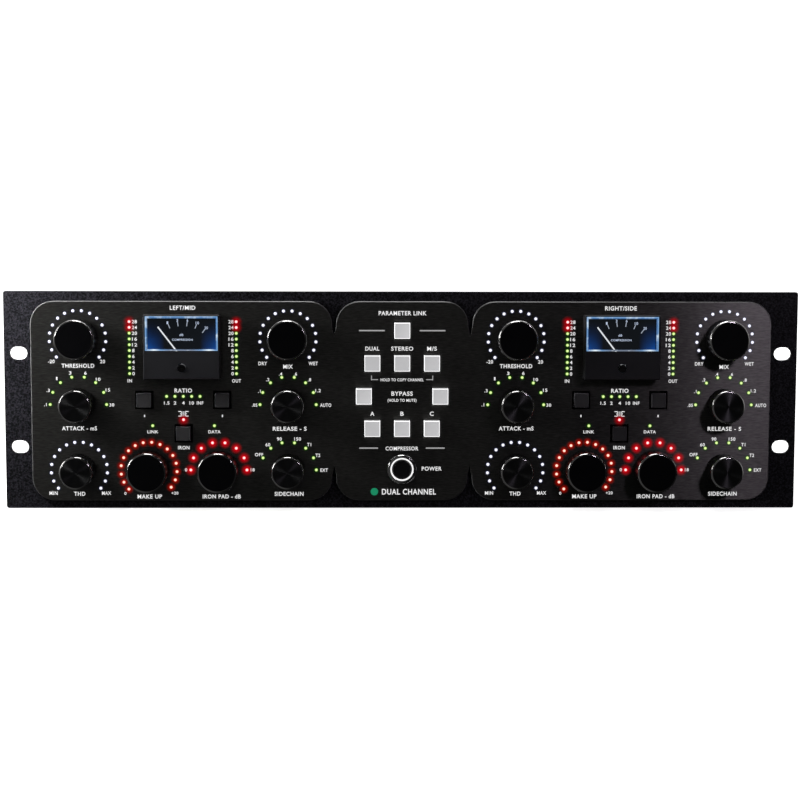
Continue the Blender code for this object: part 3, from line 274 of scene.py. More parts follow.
# Lights about the middle of the panel's face: place, size, power and colour
LIGHTS = {
    "overhead": ((-0.12, -0.15, 1.9), (0.9, 0.3), 4.1, WHITE),
    "left_lamp": ((-0.345, -0.055, 0.12), (0.06, 0.1), 1.2, WHITE),
    "left_window": ((-1.2, -0.06, 0.4), (0.3, 0.5), 1.25, WHITE),
    "right_lamp": ((0.344, -0.5, 0.273), (0.08, 0.08), 0.32, MAUVE),
    "left_front": ((-0.74, -0.55, 0.14), (0.08, 0.08), 0.5, WHITE),
}
# The light on the floor behind, about the world's origin: place, aim, size and power
FLOOR_WASH = ((0, 1.6, 2.6), (0, 1.6, 0), (3.2, 3.0), 50)

BRUSH_STRETCH = 0.13  # how much slower brushing changes along its length than across it

TURNS = {  # from facing -Y to facing each way
    "rear": Matrix.Rotation(math.pi, 3, "Z"),
    "left": Matrix.Rotation(-math.pi / 2, 3, "Z"),
    "right": Matrix.Rotation(math.pi / 2, 3, "Z"),
    "top": Matrix.Rotation(-math.pi / 2, 3, "X"),
}


# ---- materials

class Nodes:
    """Helpers that add nodes to a tree."""

    def __init__(self, tree):
        self.tree = tree

    def feed(self, socket, value):
        """Gives an input its value: a number, a colour, or another node's output."""
        if isinstance(value, bpy.types.NodeSocket):
            self.tree.links.new(value, socket)
        elif socket.type == "RGBA":
            socket.default_value = (*value, 1.0)
        else:
            socket.default_value = value

    def node(self, kind, inputs=None, **settings):
        made = self.tree.nodes.new(kind)
        for key, value in settings.items():
            setattr(made, key, value)
        for key, value in (inputs or {}).items():
            self.feed(made.inputs[key], value)
        return made

    def math(self, operation, first, second=0.0):
        return self.node("ShaderNodeMath", {0: first, 1: second}, operation=operation).outputs[0]

    def times(self, first, second):
        return self.math("MULTIPLY", first, second)

    def distance(self, value, middle):
        """How far value is from middle."""
        return self.math("ABSOLUTE", self.math("SUBTRACT", value, middle))

    def spread(self, value, low, high, start=0.0, end=1.0):
        """value's range from start to end, mapped to low to high."""
        inputs = {"Value": value, "From Min": start, "From Max": end, "To Min": low, "To Max": high}
        return self.node("ShaderNodeMapRange", inputs).outputs["Result"]


class Shader(Nodes):
    """A material being built: one Principled node, and helpers that feed it."""

    def __init__(self, name, colour, roughness, metallic=0.0, specular=0.5):
        self.material = bpy.data.materials.new(name)
        self.material.use_nodes = True
        super().__init__(self.material.node_tree)
        self.main = self.tree.nodes["Principled BSDF"]
        self.colour = colour
        self.set("Base Color", colour)
        self.set("Roughness", roughness)
        self.set("Metallic", metallic)
        self.set("Specular IOR Level", specular)

    def set(self, socket, value):
        self.feed(self.main.inputs[socket], value)

    def coordinates(self, stretch=(1.0, 1.0, 1.0)):
        """The piece's own coordinates."""
        place = self.node("ShaderNodeTexCoord").outputs["Object"]
        return self.node("ShaderNodeMapping", {"Vector": place, "Scale": stretch}).outputs["Vector"]

    def along(self, axis):
        return self.node("ShaderNodeSeparateXYZ", {0: self.coordinates()}).outputs[axis]

    def noise(self, scale, stretch=(1.0, 1.0, 1.0), detail=3.0):
        inputs = {"Vector": self.coordinates(stretch), "Scale": scale, "Detail": detail}
        return self.node("ShaderNodeTexNoise", inputs).outputs["Fac"]

    def blend(self, factor, first, second):
        """The colour that goes from first to second with factor."""
        inputs = {"Factor": factor, 6: first, 7: second}
        return self.node("ShaderNodeMix", inputs, data_type="RGBA").outputs[2]

    def tint(self, value, dark, light):
        """Base colour from dark to light times the material's own, by value."""
        ends = [[c * share for c in self.colour] for share in (dark, light)]
        self.set("Base Color", self.blend(value, *ends))

    def bump(self, value, height, strength=1.0):
        inputs = {"Height": value, "Distance": height, "Strength": strength}
        self.set("Normal", self.node("ShaderNodeBump", inputs).outputs["Normal"])

    def gloss(self, value, low, high, start=0.3, end=0.7):
        """Roughness from low to high, as value goes from start to end."""
        self.set("Roughness", self.spread(value, low, high, start, end))

    def draw_out(self, axis, anisotropic, rotation=0.0):
        """Draws highlights out across marks that lie about an axis."""
        self.set("Anisotropic", anisotropic)
        self.set("Anisotropic Rotation", rotation)
        tangent = self.node("ShaderNodeTangent", direction_type="RADIAL", axis=axis)
        self.set("Tangent", tangent.outputs["Tangent"])

    def glow(self):
        """The value that a mesh of diodes has at each vertex."""
        return self.node("ShaderNodeAttribute", attribute_name="glow").outputs["Fac"]

    def emit(self, colour, strength):
        self.set("Emission Color", colour)
        self.set("Emission Strength", strength)


def powder_coat(name, colour, roughness=0.5, specular=0.2, contrast=(0.2, 4.2)):
    """Fine textured paint: small round grains, some of which catch the light."""
    look = Shader(name, colour, roughness, specular=specular)
    grains = look.noise(1100.0, detail=4.0)
    look.tint(look.spread(grains, 0.0, 1.0, 0.4, 0.75), *contrast)
    look.gloss(grains, roughness + 0.12, roughness - 0.12, 0.35)
    look.bump(grains, 0.00012, 0.8)
    return look.material


def brushed(name, colour, roughness, anisotropic, metallic, axis="X"):
    """Fine straight brushing along an axis, which draws highlights out across it."""
    stretch = {"X": (BRUSH_STRETCH, 1.0, 1.0), "Y": (1.0, BRUSH_STRETCH, 1.0)}[axis]
    look = Shader(name, colour, roughness, metallic)
    fine, broad = look.noise(2600.0, stretch, 2.0), look.noise(1500.0, stretch, 2.0)
    mixed = look.times(fine, broad)
    look.tint(look.spread(mixed, 0.0, 1.0, 0.12, 0.4), 0.75, 1.3)
    look.gloss(mixed, roughness - 0.04, roughness + 0.06, 0.12, 0.4)
    look.bump(mixed, 0.00002, 0.5)
    look.draw_out(axis, anisotropic)
    return look.material


def moulded(name, colour, roughness, specular=0.5):
    """Moulded plastic: a fine spark-eroded grain, and slow changes of gloss."""
    look = Shader(name, colour, roughness, specular=specular)
    slow = look.noise(60.0)
    look.tint(slow, 0.85, 1.15)
    look.gloss(slow, roughness - 0.05, roughness + 0.07)
    look.bump(look.noise(1800.0), 0.00002, 0.5)
    return look.material


def turned_metal(name, colour, roughness):
    """Anodised metal with fine turning marks about the piece's own axis."""
    look = Shader(name, colour, roughness, 1.0)
    flat = look.node("ShaderNodeVectorMath", {0: look.coordinates((1.0, 0.0, 1.0))}, operation="LENGTH")
    inputs = {"W": flat.outputs["Value"], "Scale": 3500.0, "Detail": 2.0}
    marks = look.node("ShaderNodeTexNoise", inputs, noise_dimensions="1D").outputs["Fac"]
    look.tint(marks, 0.85, 1.2)
    look.gloss(marks, roughness - 0.04, roughness + 0.06)
    look.draw_out("Y", 0.9, 0.25)
    return look.material


def polished(name, colour, roughness, metallic=1.0):
    """Smooth metal or gloss paint, with slow changes of gloss."""
    look = Shader(name, colour, roughness, metallic)
    slow = look.noise(300.0)
    look.tint(slow, 0.9, 1.1)
    look.gloss(slow, roughness * 0.8, roughness * 1.3)
    return look.material


def glowing(name, rim, core, strength):
    """A lit lens: its middle has the core's colour and its edge the rim's."""
    look = Shader(name, [0.3 * c for c in rim], 0.35)
    look.emit(look.blend(look.glow(), rim, core), strength)
    return look.material


def halo(name, colour, strength, density, fade):
    """Light scattered on the plate round a diode, fading outwards."""
    look = Shader(name, colour, 0.9)
    amount = look.times(look.math("POWER", look.glow(), fade), density)
    light = look.node("ShaderNodeEmission", {"Color": colour, "Strength": strength})
    clear = look.node("ShaderNodeBsdfTransparent")
    mixed = look.node("ShaderNodeMixShader", {0: amount, 1: clear.outputs[0], 2: light.outputs[0]})
    look.feed(look.tree.nodes["Material Output"].inputs["Surface"], mixed.outputs[0])
    look.tree.nodes.remove(look.main)
    return look.material


def ink(name, colour, light):
    """Screen print, a little uneven, with painted light: it glows as bright as the studio light shows it."""
    look = Shader(name, [0.35 * c for c in colour], 0.6, specular=0.2)
    look.tint(look.noise(900.0), 0.9, 1.1)
    # painted light: the print glows instead of being lit
    look.emit(colour, light)
    return look.material


def lit_cap(name, colour, light):
    """Translucent plastic with a lamp behind it, a little cloudy."""
    look = Shader(name, [0.4 * c for c in colour], 0.35)
    slow = look.noise(240.0)
    look.gloss(slow, 0.3, 0.43)
    look.emit(look.blend(slow, [0.94 * c for c in colour], [1.04 * c for c in colour]), light)
    return look.material


def dial_face(name, low, high):
    """A near-black dial, lit blue in the window's lower corners by the lamps in the window's edge."""
    look = Shader(name, (0.004, 0.006, 0.011), 0.6, specular=0.1)
    up, across = look.along("Z"), look.distance(look.along("X"), (low.x + high.x) / 2)
    near, far = (share * (high.x - low.x) / 2 for share in DIAL_BLUE_REACH)
    sideways = look.spread(across, 0.0, 1.0, near, far)
    downwards = look.math("POWER", look.spread(up, 1.0, 0.0, low.z, high.z), DIAL_BLUE_FALL)
    above_edge = look.math("GREATER_THAN", up, low.z)
    corner = look.times(look.times(sideways, downwards), above_edge)
    cloudy = look.times(corner, look.spread(look.noise(180.0), 0.6, 1.3))
    look.emit(look.blend(cloudy, DIAL_DARK, DIAL_BLUE), 1.0)
    return look.material


def lamp_border(name, half_width, blue, white, grey):
    """The window's edge, which carries light: whitest above its two lamps, blue, and grey between them."""
    look = Shader(name, [0.2 * c for c in blue], 0.3)
    across = look.distance(look.along("X"), 0.0)
    below = look.math("LESS_THAN", look.along("Z"), 0.0)
    from_lamp = look.distance(across, LAMP_PLACE * half_width)
    lamp = look.times(look.spread(from_lamp, 1.0, 0.0, 0.0, LAMP_REACH * half_width), below)
    near, far = (share * half_width for share in GREY_REACH)
    middle = look.times(look.spread(across, 1.0, 0.0, near, far), below)
    patches = look.spread(look.noise(260.0), 0.0, 0.8, 0.52, 0.78)
    base = look.blend(middle, blue, grey)
    look.emit(look.blend(look.math("MAXIMUM", lamp, patches), base, white), 1.0)
    return look.material


def window_plastic(name):
    """Clear plastic, nearly without colour of its own."""
    look = Shader(name, (0.0, 0.0, 0.0), 0.05)
    look.gloss(look.noise(40.0), 0.03, 0.08)
    look.set("Alpha", 0.15)
    return look.material


def circuit_board(name, mask, body, top, axis="Z", side="GREATER_THAN"):
    """Solder mask up to top along an axis, and the parts that stand on the board on its other side."""
    look = Shader(name, mask, 0.35)
    beyond = look.math(side, look.along(axis), top)
    inputs = {"Vector": look.coordinates(), "Scale": 90.0, "Mortar Size": 0.03}
    for socket, share in (("Color1", 1.0), ("Color2", 0.8), ("Mortar", 2.2)):
        inputs[socket] = [share * c for c in mask]
    tracks = look.node("ShaderNodeTexBrick", inputs).outputs["Color"]
    look.set("Base Color", look.blend(beyond, tracks, body))
    look.bump(look.noise(700.0), 0.00003, 0.4)
    return look.material


def taped_winding(name):
    """Yellow tape wound round the transformer in overlapping turns."""
    look = Shader(name, (0.5, 0.3, 0.03), 0.35)
    inputs = {"Vector": look.coordinates(), "Scale": 60.0, "Distortion": 2.0}
    bands = look.node("ShaderNodeTexWave", inputs).outputs["Fac"]
    look.tint(bands, 0.6, 1.2)
    look.bump(bands, 0.0004, 0.5)
    return look.material


# ---- meshes

def mesh_of(bm, name):
    """The mesh made from bm, which isn't needed afterwards."""
    mesh = bpy.data.meshes.new(name)
    bm.to_mesh(mesh)
    bm.free()
    return mesh


def finished(bm, name):
    """The mesh of a closed shape, its faces turned outwards."""
    bmesh.ops.recalc_face_normals(bm, faces=bm.faces)
    return mesh_of(bm, name)


def hexagon_share(angle):
    """How far out a hexagon's side is at an angle, as a share of its corners' distance."""
    third = math.pi / 3
    return math.cos(third / 2) / math.cos(angle % third - third / 2)


def lathe(bm, profile, sides, at=(0, 0, 0), slots=None, hexagons=()):
    """Turns (radius, depth) points about Y through at, and returns the rings of vertices.

    slots gives a material number to each band, and hexagons the numbers of the rings that are hexagonal.
    """
    turns = [2 * math.pi * i / sides for i in range(sides)]
    rings = []
    for number, (radius, depth) in enumerate(profile):
        centre = Vector(at) + Vector((0, depth, 0))
        if radius == 0:
            rings.append([bm.verts.new(centre)])
            continue
        reach = [radius * (hexagon_share(a) if number in hexagons else 1.0) for a in turns]
        places = [centre + Vector((r * math.cos(a), 0, r * math.sin(a))) for r, a in zip(reach, turns)]
        rings.append([bm.verts.new(place) for place in places])
    for band, (first, second) in enumerate(zip(rings, rings[1:])):
        for i in range(sides):
            a, b = first[i % len(first)], first[(i + 1) % len(first)]
            c, d = second[(i + 1) % len(second)], second[i % len(second)]
            face = bm.faces.new(list(dict.fromkeys((a, b, c, d))))
            face.material_index = slots[band] if slots else 0
            face.smooth = True
    return rings


def rounded(points, radius, steps=5):
    """The profile with each inner point replaced by a small arc."""
    made = [points[0]]
    for before, corner, after in zip(points, points[1:], points[2:]):
        middle, a, b = Vector(corner), Vector(before), Vector(after)
        reach = min(radius, (a - middle).length / ARC_LIMIT, (b - middle).length / ARC_LIMIT)
        start = middle + (a - middle).normalized() * reach
        end = middle + (b - middle).normalized() * reach
        for i in range(steps + 1):
            t = i / steps
            made.append(tuple((1 - t) ** 2 * start + 2 * t * (1 - t) * middle + t**2 * end))
    made.append(points[-1])
    return made


def box(bm, low, high, slot, bevel=0.0):
    """Adds a box between two corners, with its edges bevelled if asked."""
    size = [b - a for a, b in zip(low, high)]
    middle = [(a + b) / 2 for a, b in zip(low, high)]
    matrix = Matrix.Translation(middle) @ Matrix.Diagonal((*size, 1.0))
    verts = bmesh.ops.create_cube(bm, size=1.0, matrix=matrix)["verts"]
    faces = {f for v in verts for f in v.link_faces}
    if bevel:
        edges = list({e for v in verts for e in v.link_edges})
        shape = {"offset": bevel, "segments": 3, "profile": 0.5, "affect": "EDGES"}
        made = bmesh.ops.bevel(bm, geom=edges, clamp_overlap=True, **shape)
        faces = {f for f in faces if f.is_valid} | set(made["faces"])
    for face in faces:
        face.material_index = slot


def put(name, data, at=(0, 0, 0)):
    """A new object in the scene."""
    made = bpy.data.objects.new(name, data)
    bpy.context.scene.collection.objects.link(made)
    made.location = at
    return made


def piece(name, mesh, materials, body=CHASSIS, at=(0, 0, 0), stands_for=None, smooth_deg=35):
    """Puts a mesh in the scene as a piece that rides on a body. With smooth_deg 0 its faces stay flat."""
    made = put(name, mesh, at)
    for material in materials:
        mesh.materials.append(material)
    if smooth_deg:
        mesh.shade_smooth()
        mesh.set_sharp_from_angle(angle=math.radians(smooth_deg))
    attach(made, body)
    if stands_for:
        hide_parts(stands_for)


def middle_of(node):
    """The middle of a node's box."""
    low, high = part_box(node)
    return (low + high) / 2


def front_of(node):
    """The middle of the front of a node's box, half the box's width, and its depth."""
    low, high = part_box(node)
    middle = (low + high) / 2
    return (middle.x, low.y, middle.z), (high.x - low.x) / 2, high.y - low.y


def points_front(face):
    return face.normal.y < FRONT_NORMAL


def text_mesh(text):
    """Flat letters, left as the font draws them."""
    curve = bpy.data.curves.new("words", "FONT")
    curve.body, curve.resolution_u, curve.offset = text, 3, LETTER_WEIGHT
    curve.space_character = LETTER_SPACING
    holder = bpy.data.objects.new("words", curve)
    mesh = bpy.data.meshes.new_from_object(holder)
    bpy.data.objects.remove(holder)
    bpy.data.curves.remove(curve)
    return mesh


def words(bm, text, x, z, height, width, y, way=1):
    """Adds flat text about (x, z), its capitals as high and its line as wide as asked.

    way is 1 on the front and -1 on the rear.
    """
    mesh = text_mesh(text)
    left, right = (end(vert.co.x for vert in mesh.vertices) for end in (min, max))
    scale_x, scale_z = way * width / (right - left), height / CAPITAL_HEIGHT
    for vert in mesh.vertices:
        across, up = vert.co.x - (left + right) / 2, vert.co.y
        vert.co = (x + scale_x * across, y, z - height / 2 + scale_z * up)
    bm.from_mesh(mesh)
    bpy.data.meshes.remove(mesh)


def stroke(bm, start, end, thickness, y, slot=0):
    """A flat line from start to end, both (x, z)."""
    a, b = Vector((start[0], y, start[1])), Vector((end[0], y, end[1]))
    side = (b - a).normalized().cross(Vector((0, 1, 0))) * thickness / 2
    face = bm.faces.new([bm.verts.new(p) for p in (a - side, b - side, b + side, a + side)])
    face.material_index = slot


def face_outwards(bm, way=-1):
    """Turns every face of flat print towards -Y, or towards +Y where way is 1."""
    bm.normal_update()
    for face in bm.faces:
        if face.normal.y * way < 0:
            face.normal_flip()


# ---- diodes

def make_diode_group(name, places, y, look):
    """Domed lenses on the faceplate at (x, z) places, each with the light it scatters on the plate."""
    lens, glow, glow_radius = look
    bm = bmesh.new()
    layer = bm.verts.layers.float.new("glow")
    dome = [(math.sin(a) * LED_RADIUS, -LED_PROUD * math.cos(a)) for a in LED_DOME]
    start = LED_RADIUS * HALO_START
    reach = [start + (glow_radius - start) * i / HALO_STEPS for i in range(HALO_STEPS + 1)]
    for x, z in places:
        for ring, share in zip(lathe(bm, dome, LED_SIDES, (x, y, z)), LED_DOME_GLOW):
            for vert in ring:
                vert[layer] = share
        flat = [(radius, -HALO_LIFT) for radius in reach]
        for step, ring in enumerate(lathe(bm, flat, LED_SIDES, (x, y, z), [1] * HALO_STEPS)):
            for vert in ring:
                vert[layer] = 1.0 - step / HALO_STEPS
    face_outwards(bm)
    piece(name, mesh_of(bm, name), [lens, glow])


def ring_places(centre, first_deg, last_deg, count):
    """The (x, z) places of a knob's ring of diodes."""
    angles = [math.radians(first_deg + (last_deg - first_deg) * i / (count - 1)) for i in range(count)]
    return [(centre.x + RING_RADIUS * math.sin(a), centre.z + RING_RADIUS * math.cos(a)) for a in angles]


def make_diodes(side, looks, y):
    """Every diode of one channel."""
    groups = {}
    for knob, (ring, kind) in RINGS.items():
        groups[f"{knob}_lights"] = (ring_places(middle_of(f"{side}_{knob}_knob"), *ring), kind)
    x, z0 = middle_of(f"{side}_meter_window").x, MIDDLE.z
    for word, sign in (("in", -1), ("out", 1)):
        column = [(x + sign * LEVEL_X, z0 + LEVEL_TOP_Z - i * LEVEL_PITCH) for i in range(LEVEL_COUNT)]
        groups[f"{word}_level_red_lights"] = (column[:LEVEL_RED], "level_red")
        groups[f"{word}_level_lights"] = (column[LEVEL_RED:], "green")
    row = [(x + RATIO_PITCH * (i - 2), z0 + RATIO_Z) for i in range(len(RATIO_WORDS))]
    groups["ratio_lights"] = (row, "green")
    groups["status_lights"] = ([(x + sign * STATUS_X, z0 + STATUS_Z) for sign in (-1, 1)], "green")
    groups["iron_light"] = ([(x, z0 + IRON_LAMP_Z)], "level_red")
    for name, (places, kind) in groups.items():
        make_diode_group(f"{side}_{name}", places, y, looks[kind])


# ---- print

def print_words(bm, table, x0, z0, y):
    """Adds a table's words, about (x0, z0)."""
    for text, x, z, height, width in table:
        words(bm, text, x0 + x * MM, z0 + z * MM, height * MM, width * MM, y)


def print_lines(bm, table, x0, z0, y, slot=0):
    """Adds a table's lines and their mirror images, about (x0, z0)."""
    for line in table:
        start_x, start_z, end_x, end_z, thickness = (value * MM for value in line)
        for sign in (-1, 1):
            start, end = (x0 + sign * start_x, z0 + start_z), (x0 + sign * end_x, z0 + end_z)
            stroke(bm, start, end, thickness, y, slot)


def transformer_symbol(bm, x, z, y):
    """The circuit symbol for a transformer: two windings back to back on a core of two lines."""
    lines = list(SYMBOL_LINES)
    away, reach, half, thickness = SYMBOL_TURN
    angles = [math.pi * i / SYMBOL_STEPS for i in range(SYMBOL_STEPS + 1)]
    for middle in SYMBOL_TURNS:
        points = [(away - reach * math.sin(a), middle + half * math.cos(a)) for a in angles]
        lines += [(*first, *second, thickness) for first, second in zip(points, points[1:])]
    print_lines(bm, lines, x, z, y)


def print_channel(side, y, white):
    """Every word and mark of one channel."""
    bm = bmesh.new()
    for knob, table in KNOB_WORDS.items():
        centre = middle_of(f"{side}_{knob}_knob")
        print_words(bm, table, centre.x, centre.z, y)
    x, z0 = middle_of(f"{side}_meter_window").x, MIDDLE.z
    print_words(bm, CHANNEL_WORDS, x, z0, y)
    title = CHANNEL_TITLE[side]
    words(bm, title, x, z0 + TITLE_Z, TITLE_HEIGHT, TITLE_LETTER * len(title), y)
    for number, text in enumerate(LEVEL_WORDS):
        z = z0 + LEVEL_TOP_Z - number * LEVEL_PITCH
        width = LEVEL_WORD_WIDTHS[len(text) - 1]
        inwards = LEVEL_X - LEVEL_WORD_GAP - width / 2
        for at in (x - inwards, x + inwards):
            words(bm, text, at, z, LEVEL_WORD_HEIGHT, width, y)
    for number, (text, width) in enumerate(RATIO_WORDS):
        at = x + RATIO_PITCH * (number - 2)
        words(bm, text, at, z0 + RATIO_WORD_Z, RATIO_WORD_HEIGHT, width * MM, y)
    for button in ("ratio_down", "ratio_up"):
        mark = middle_of(f"{side}_{button}_button")
        low, high = (mark.z + end for end in STEP_MARK_Z)
        stroke(bm, (mark.x, low), (mark.x, high), STEP_MARK_WIDTH, y)
    transformer_symbol(bm, x, z0 + SYMBOL_Z, y)
    face_outwards(bm)
    piece(f"{side}_channel_print", mesh_of(bm, "print"), [white])


def print_middle(y, white, grey, green):
    """The words, lines and dot between the channels."""
    bm = bmesh.new()
    print_words(bm, MIDDLE_WORDS, MIDDLE.x, MIDDLE.z, y)
    print_lines(bm, MIDDLE_LINES, MIDDLE.x, MIDDLE.z, y, 1)
    x, z, radius = (value * MM for value in GREEN_DOT)
    lathe(bm, [(0, 0), (radius, 0)], DOT_SIDES, (MIDDLE.x + x, y, MIDDLE.z + z), [2])
    face_outwards(bm)
    piece("middle_print", mesh_of(bm, "print"), [white, grey, green])


# ---- front panel pieces

def joined_loop(start, edges):
    """The edges that can be reached from start through the given ones."""
    found, waiting = {start}, [start]
    while waiting:
        for vert in waiting.pop().verts:
            for edge in vert.link_edges:
                if edge in edges and edge not in found:
                    found.add(edge)
                    waiting.append(edge)
    return found


def outline_edges(bm):
    """The front edges round the outside of a plate that faces -Y."""
    sharp = set()
    for edge in bm.edges:
        fronts = sum(points_front(face) for face in edge.link_faces)
        if len(edge.link_faces) == 2 and fronts == 1:
            sharp.add(edge)
    leftmost = min(sharp, key=lambda edge: min(vert.co.x for vert in edge.verts))
    return joined_loop(leftmost, sharp)


def chamfer_outline(bm, width):
    """Cuts a chamfer along a plate's outline by moving the edge of its front face inwards."""
    depth = min(vert.co.y for vert in bm.verts) + width
    everything = bm.verts[:] + bm.edges[:] + bm.faces[:]
    bmesh.ops.bisect_plane(bm, geom=everything, plane_co=(0, depth, 0), plane_no=(0, 1, 0))
    bm.normal_update()
    outward = {}
    for edge in outline_edges(bm):
        side = max(edge.link_faces, key=lambda face: face.normal.y).normal
        for vert in edge.verts:
            outward.setdefault(vert, []).append(side)
    for vert, (first, second) in outward.items():
        vert.co -= width * (first + second) / max(1 + first.dot(second), LEAST_MITRE)
    bm.normal_update()
    for face in bm.faces:
        face.material_index = int(FRONT_NORMAL < face.normal.y < SLOPE_NORMAL)


def make_plate(node, materials, chamfer):
    """A front plate with its outline chamfered in the second material."""
    name = f"{node}_shaped"
    bm = bmesh.new()
    bm.from_mesh(frame["nodes"][node].data)
    bmesh.ops.remove_doubles(bm, verts=bm.verts, dist=MERGE_DISTANCE)
    bm.normal_update()
    chamfer_outline(bm, chamfer)
    piece(name, finished(bm, name), materials, stands_for=node, smooth_deg=0)


def turned(profile, sides, name, slots=None):
    """The mesh of a solid turned about Y."""
    bm = bmesh.new()
    lathe(bm, profile, sides, slots=slots)
    return finished(bm, name)


def knob_profile(radius, height):
    """A knob's section from the middle of its face to its bore, and the material of each band."""
    rim = radius - KNOB_RIM
    outline = [(rim - KNOB_RIM_FLAT, 0), (rim, 0), (radius, KNOB_RIM), (radius, KNOB_WALL_START)]
    corner = rounded(outline, KNOB_RIM_SOFT, 3)
    foot = [(radius, height - KNOB_FOOT), (radius - KNOB_FOOT, height)]
    bore, bore_end = KNOB_BORE_SHARE * radius, height - KNOB_BORE_DEPTH
    bottom = [(bore, height), (bore, bore_end), (0, bore_end)]
    profile = [(0, 0), *corner, *foot, *bottom]
    slots = [0, 0] + [1] * (len(corner) - 2) + [2] * (len(foot) + len(bottom))
    return profile, slots


def make_knobs(small_face, large_face, rim, wall):
    """Every knob, of which the small ones have a face of turned metal."""
    for node in [n for n in frame["nodes"] if n.endswith("_knob")]:
        place, radius, height = front_of(node)
        profile, slots = knob_profile(radius, height)
        mesh = turned(profile, KNOB_SEGMENTS, node, slots)
        face = small_face if radius < SMALL_KNOB_LIMIT else large_face
        looks = [face, rim, wall]
        piece(f"{node}_turned", mesh, looks, node, place, node, smooth_deg=25)


def make_square_buttons(light_looks, dark_looks):
    """Caps with a narrow border round a slightly sunk face, on their plungers."""
    for node in [n for n in frame["nodes"] if n.endswith("_button") and n != "power_button"]:
        place, half, depth = front_of(node)
        half -= CAP_GAP
        dark = any(word in node for word in ("ratio", "iron"))
        border, soft, sunk = CAP_STYLES["dark" if dark else "light"]
        bm = bmesh.new()
        box(bm, (-half, 0, -half), (half, CAP_DEPTH, half), 1, soft)
        bm.normal_update()
        front = [face for face in bm.faces if points_front(face)]
        bmesh.ops.inset_region(bm, faces=front, thickness=border - soft, depth=0)
        for face in front:
            face.material_index = 0
        bmesh.ops.translate(bm, verts=list({v for f in front for v in f.verts}), vec=(0, sunk, 0))
        start = CAP_DEPTH - PLUNGER_OVERLAP
        box(bm, (-PLUNGER, start, -PLUNGER), (PLUNGER, depth, PLUNGER), 1)
        looks, slot = (dark_looks, "cap_black") if dark else (light_looks, "cap_white")
        piece(f"{node}_cap", finished(bm, node), looks, node, place, node)


def make_power_button(bezel_look, ring_look, cap_look):
    """The bezel, the lit ring in its front, and the button with a shallow dish in it."""
    place, outer, length = front_of("power_button_bezel")
    section = rounded([
        (BEZEL_BORE, BEZEL_BORE_DEPTH), (BEZEL_BORE, BEZEL_SEAT), (RING_OUT, BEZEL_SEAT),
        (RING_OUT + BEZEL_LIP, 0.0), (outer - BEZEL_FALL, BEZEL_FALL_DEPTH), (outer, BEZEL_RIM_DEPTH),
        (outer, BEZEL_FLANGE), (BEZEL_BARREL, BEZEL_FLANGE), (BEZEL_BARREL, length),
    ], BEZEL_SOFT)
    mesh = turned([(0, BEZEL_BORE_DEPTH), *section, (0, length)], POWER_SEGMENTS, "bezel")
    node = "power_button_bezel"
    piece(f"{node}_turned", mesh, [bezel_look], CHASSIS, place, node)

    section = [(RING_IN, RING_BACK), (RING_IN, RING_FRONT), (RING_OUT, RING_FRONT), (RING_OUT, RING_BACK)]
    bm = bmesh.new()
    lathe(bm, rounded(section, BEZEL_SOFT), POWER_SEGMENTS)
    face_outwards(bm)
    piece("power_light_ring", mesh_of(bm, "ring"), [ring_look], CHASSIS, place)

    node = "power_button"
    place, radius, length = front_of(node)
    section = rounded([
        (0, POWER_DISH_DEPTH), (radius * POWER_DISH, POWER_DISH_DEPTH), (radius - POWER_EDGE, 0),
        (radius, POWER_EDGE_DEPTH), (radius, length), (0, length),
    ], POWER_SOFT)
    mesh = turned(section, POWER_SEGMENTS, "cap")
    piece(f"{node}_cap", mesh, [cap_look], node, place, node)


# ---- meters

def make_window(side, looks):
    """The clear pane, with the lit border and its outer line round the front."""
    node = f"{side}_meter_window"
    low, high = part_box(node)
    place, w, depth = front_of(node)
    h, line = (high.z - low.z) / 2, BORDER_LINE
    left, right = (BORDER_OUTER, BORDER_INNER) if side == "left" else (BORDER_INNER, BORDER_OUTER)
    steps = [  # corners and depth of each rectangle, from the back to the clear part of the front
        (-w, -h, w, h, depth),
        (-w, -h, w, h, 0.0),
        (line - w, line - h, w - line, h - line, 0.0),
        (left - w, BORDER_BOTTOM - h, w - right, h - BORDER_TOP, BORDER_DEPTH),
    ]
    bm = bmesh.new()
    loops = []
    for x0, z0, x1, z1, y in steps:
        loops.append([bm.verts.new(p) for p in ((x0, y, z0), (x1, y, z0), (x1, y, z1), (x0, y, z1))])
    for slot, first, second in zip((1, 2, 1), loops, loops[1:]):
        for i in range(4):
            j = (i + 1) % 4
            bm.faces.new((first[i], first[j], second[j], second[i])).material_index = slot
    bm.faces.new(loops[-1]).material_index = 0
    face_outwards(bm)
    mesh, materials = mesh_of(bm, "pane"), [looks["clear"], looks["border"], looks["line"]]
    name = f"{side}_meter_pane"
    piece(name, mesh, materials, CHASSIS, place, node, smooth_deg=10)


def print_dial(side, looks):
    """The marks, numbers and words of a dial, about its needle's pivot."""
    joint = next(j for j in frame["joints"] if j["child"] == f"{side}_meter_needle")
    pivot = Vector(joint["pos_m"])
    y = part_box(f"{side}_meter_dial")[1].y - DIAL_THICKNESS - PRINT_LIFT
    bm = bmesh.new()
    for number, text in enumerate(SCALE_NUMBERS, 1):
        angle = math.radians(SCALE_FIRST_DEG + SCALE_STEP_DEG * number)
        way = Vector((math.sin(angle), 0, math.cos(angle)))
        start, end = pivot + way * SCALE_RADIUS, pivot + way * (SCALE_RADIUS + TICK_LENGTH)
        stroke(bm, (start.x, start.z), (end.x, end.z), TICK_WIDTH, y, 1)
        x, z = end.x + way.x * SCALE_NUMBER_OUT, end.z + SCALE_NUMBER_UP
        words(bm, text, x, z, SCALE_NUMBER_HEIGHT, SCALE_DIGIT_WIDTH * len(text), y)
    print_words(bm, DIAL_WORDS, pivot.x, pivot.z, y)
    face_outwards(bm)
    piece(f"{side}_dial_print", mesh_of(bm, "dial_print"), looks)


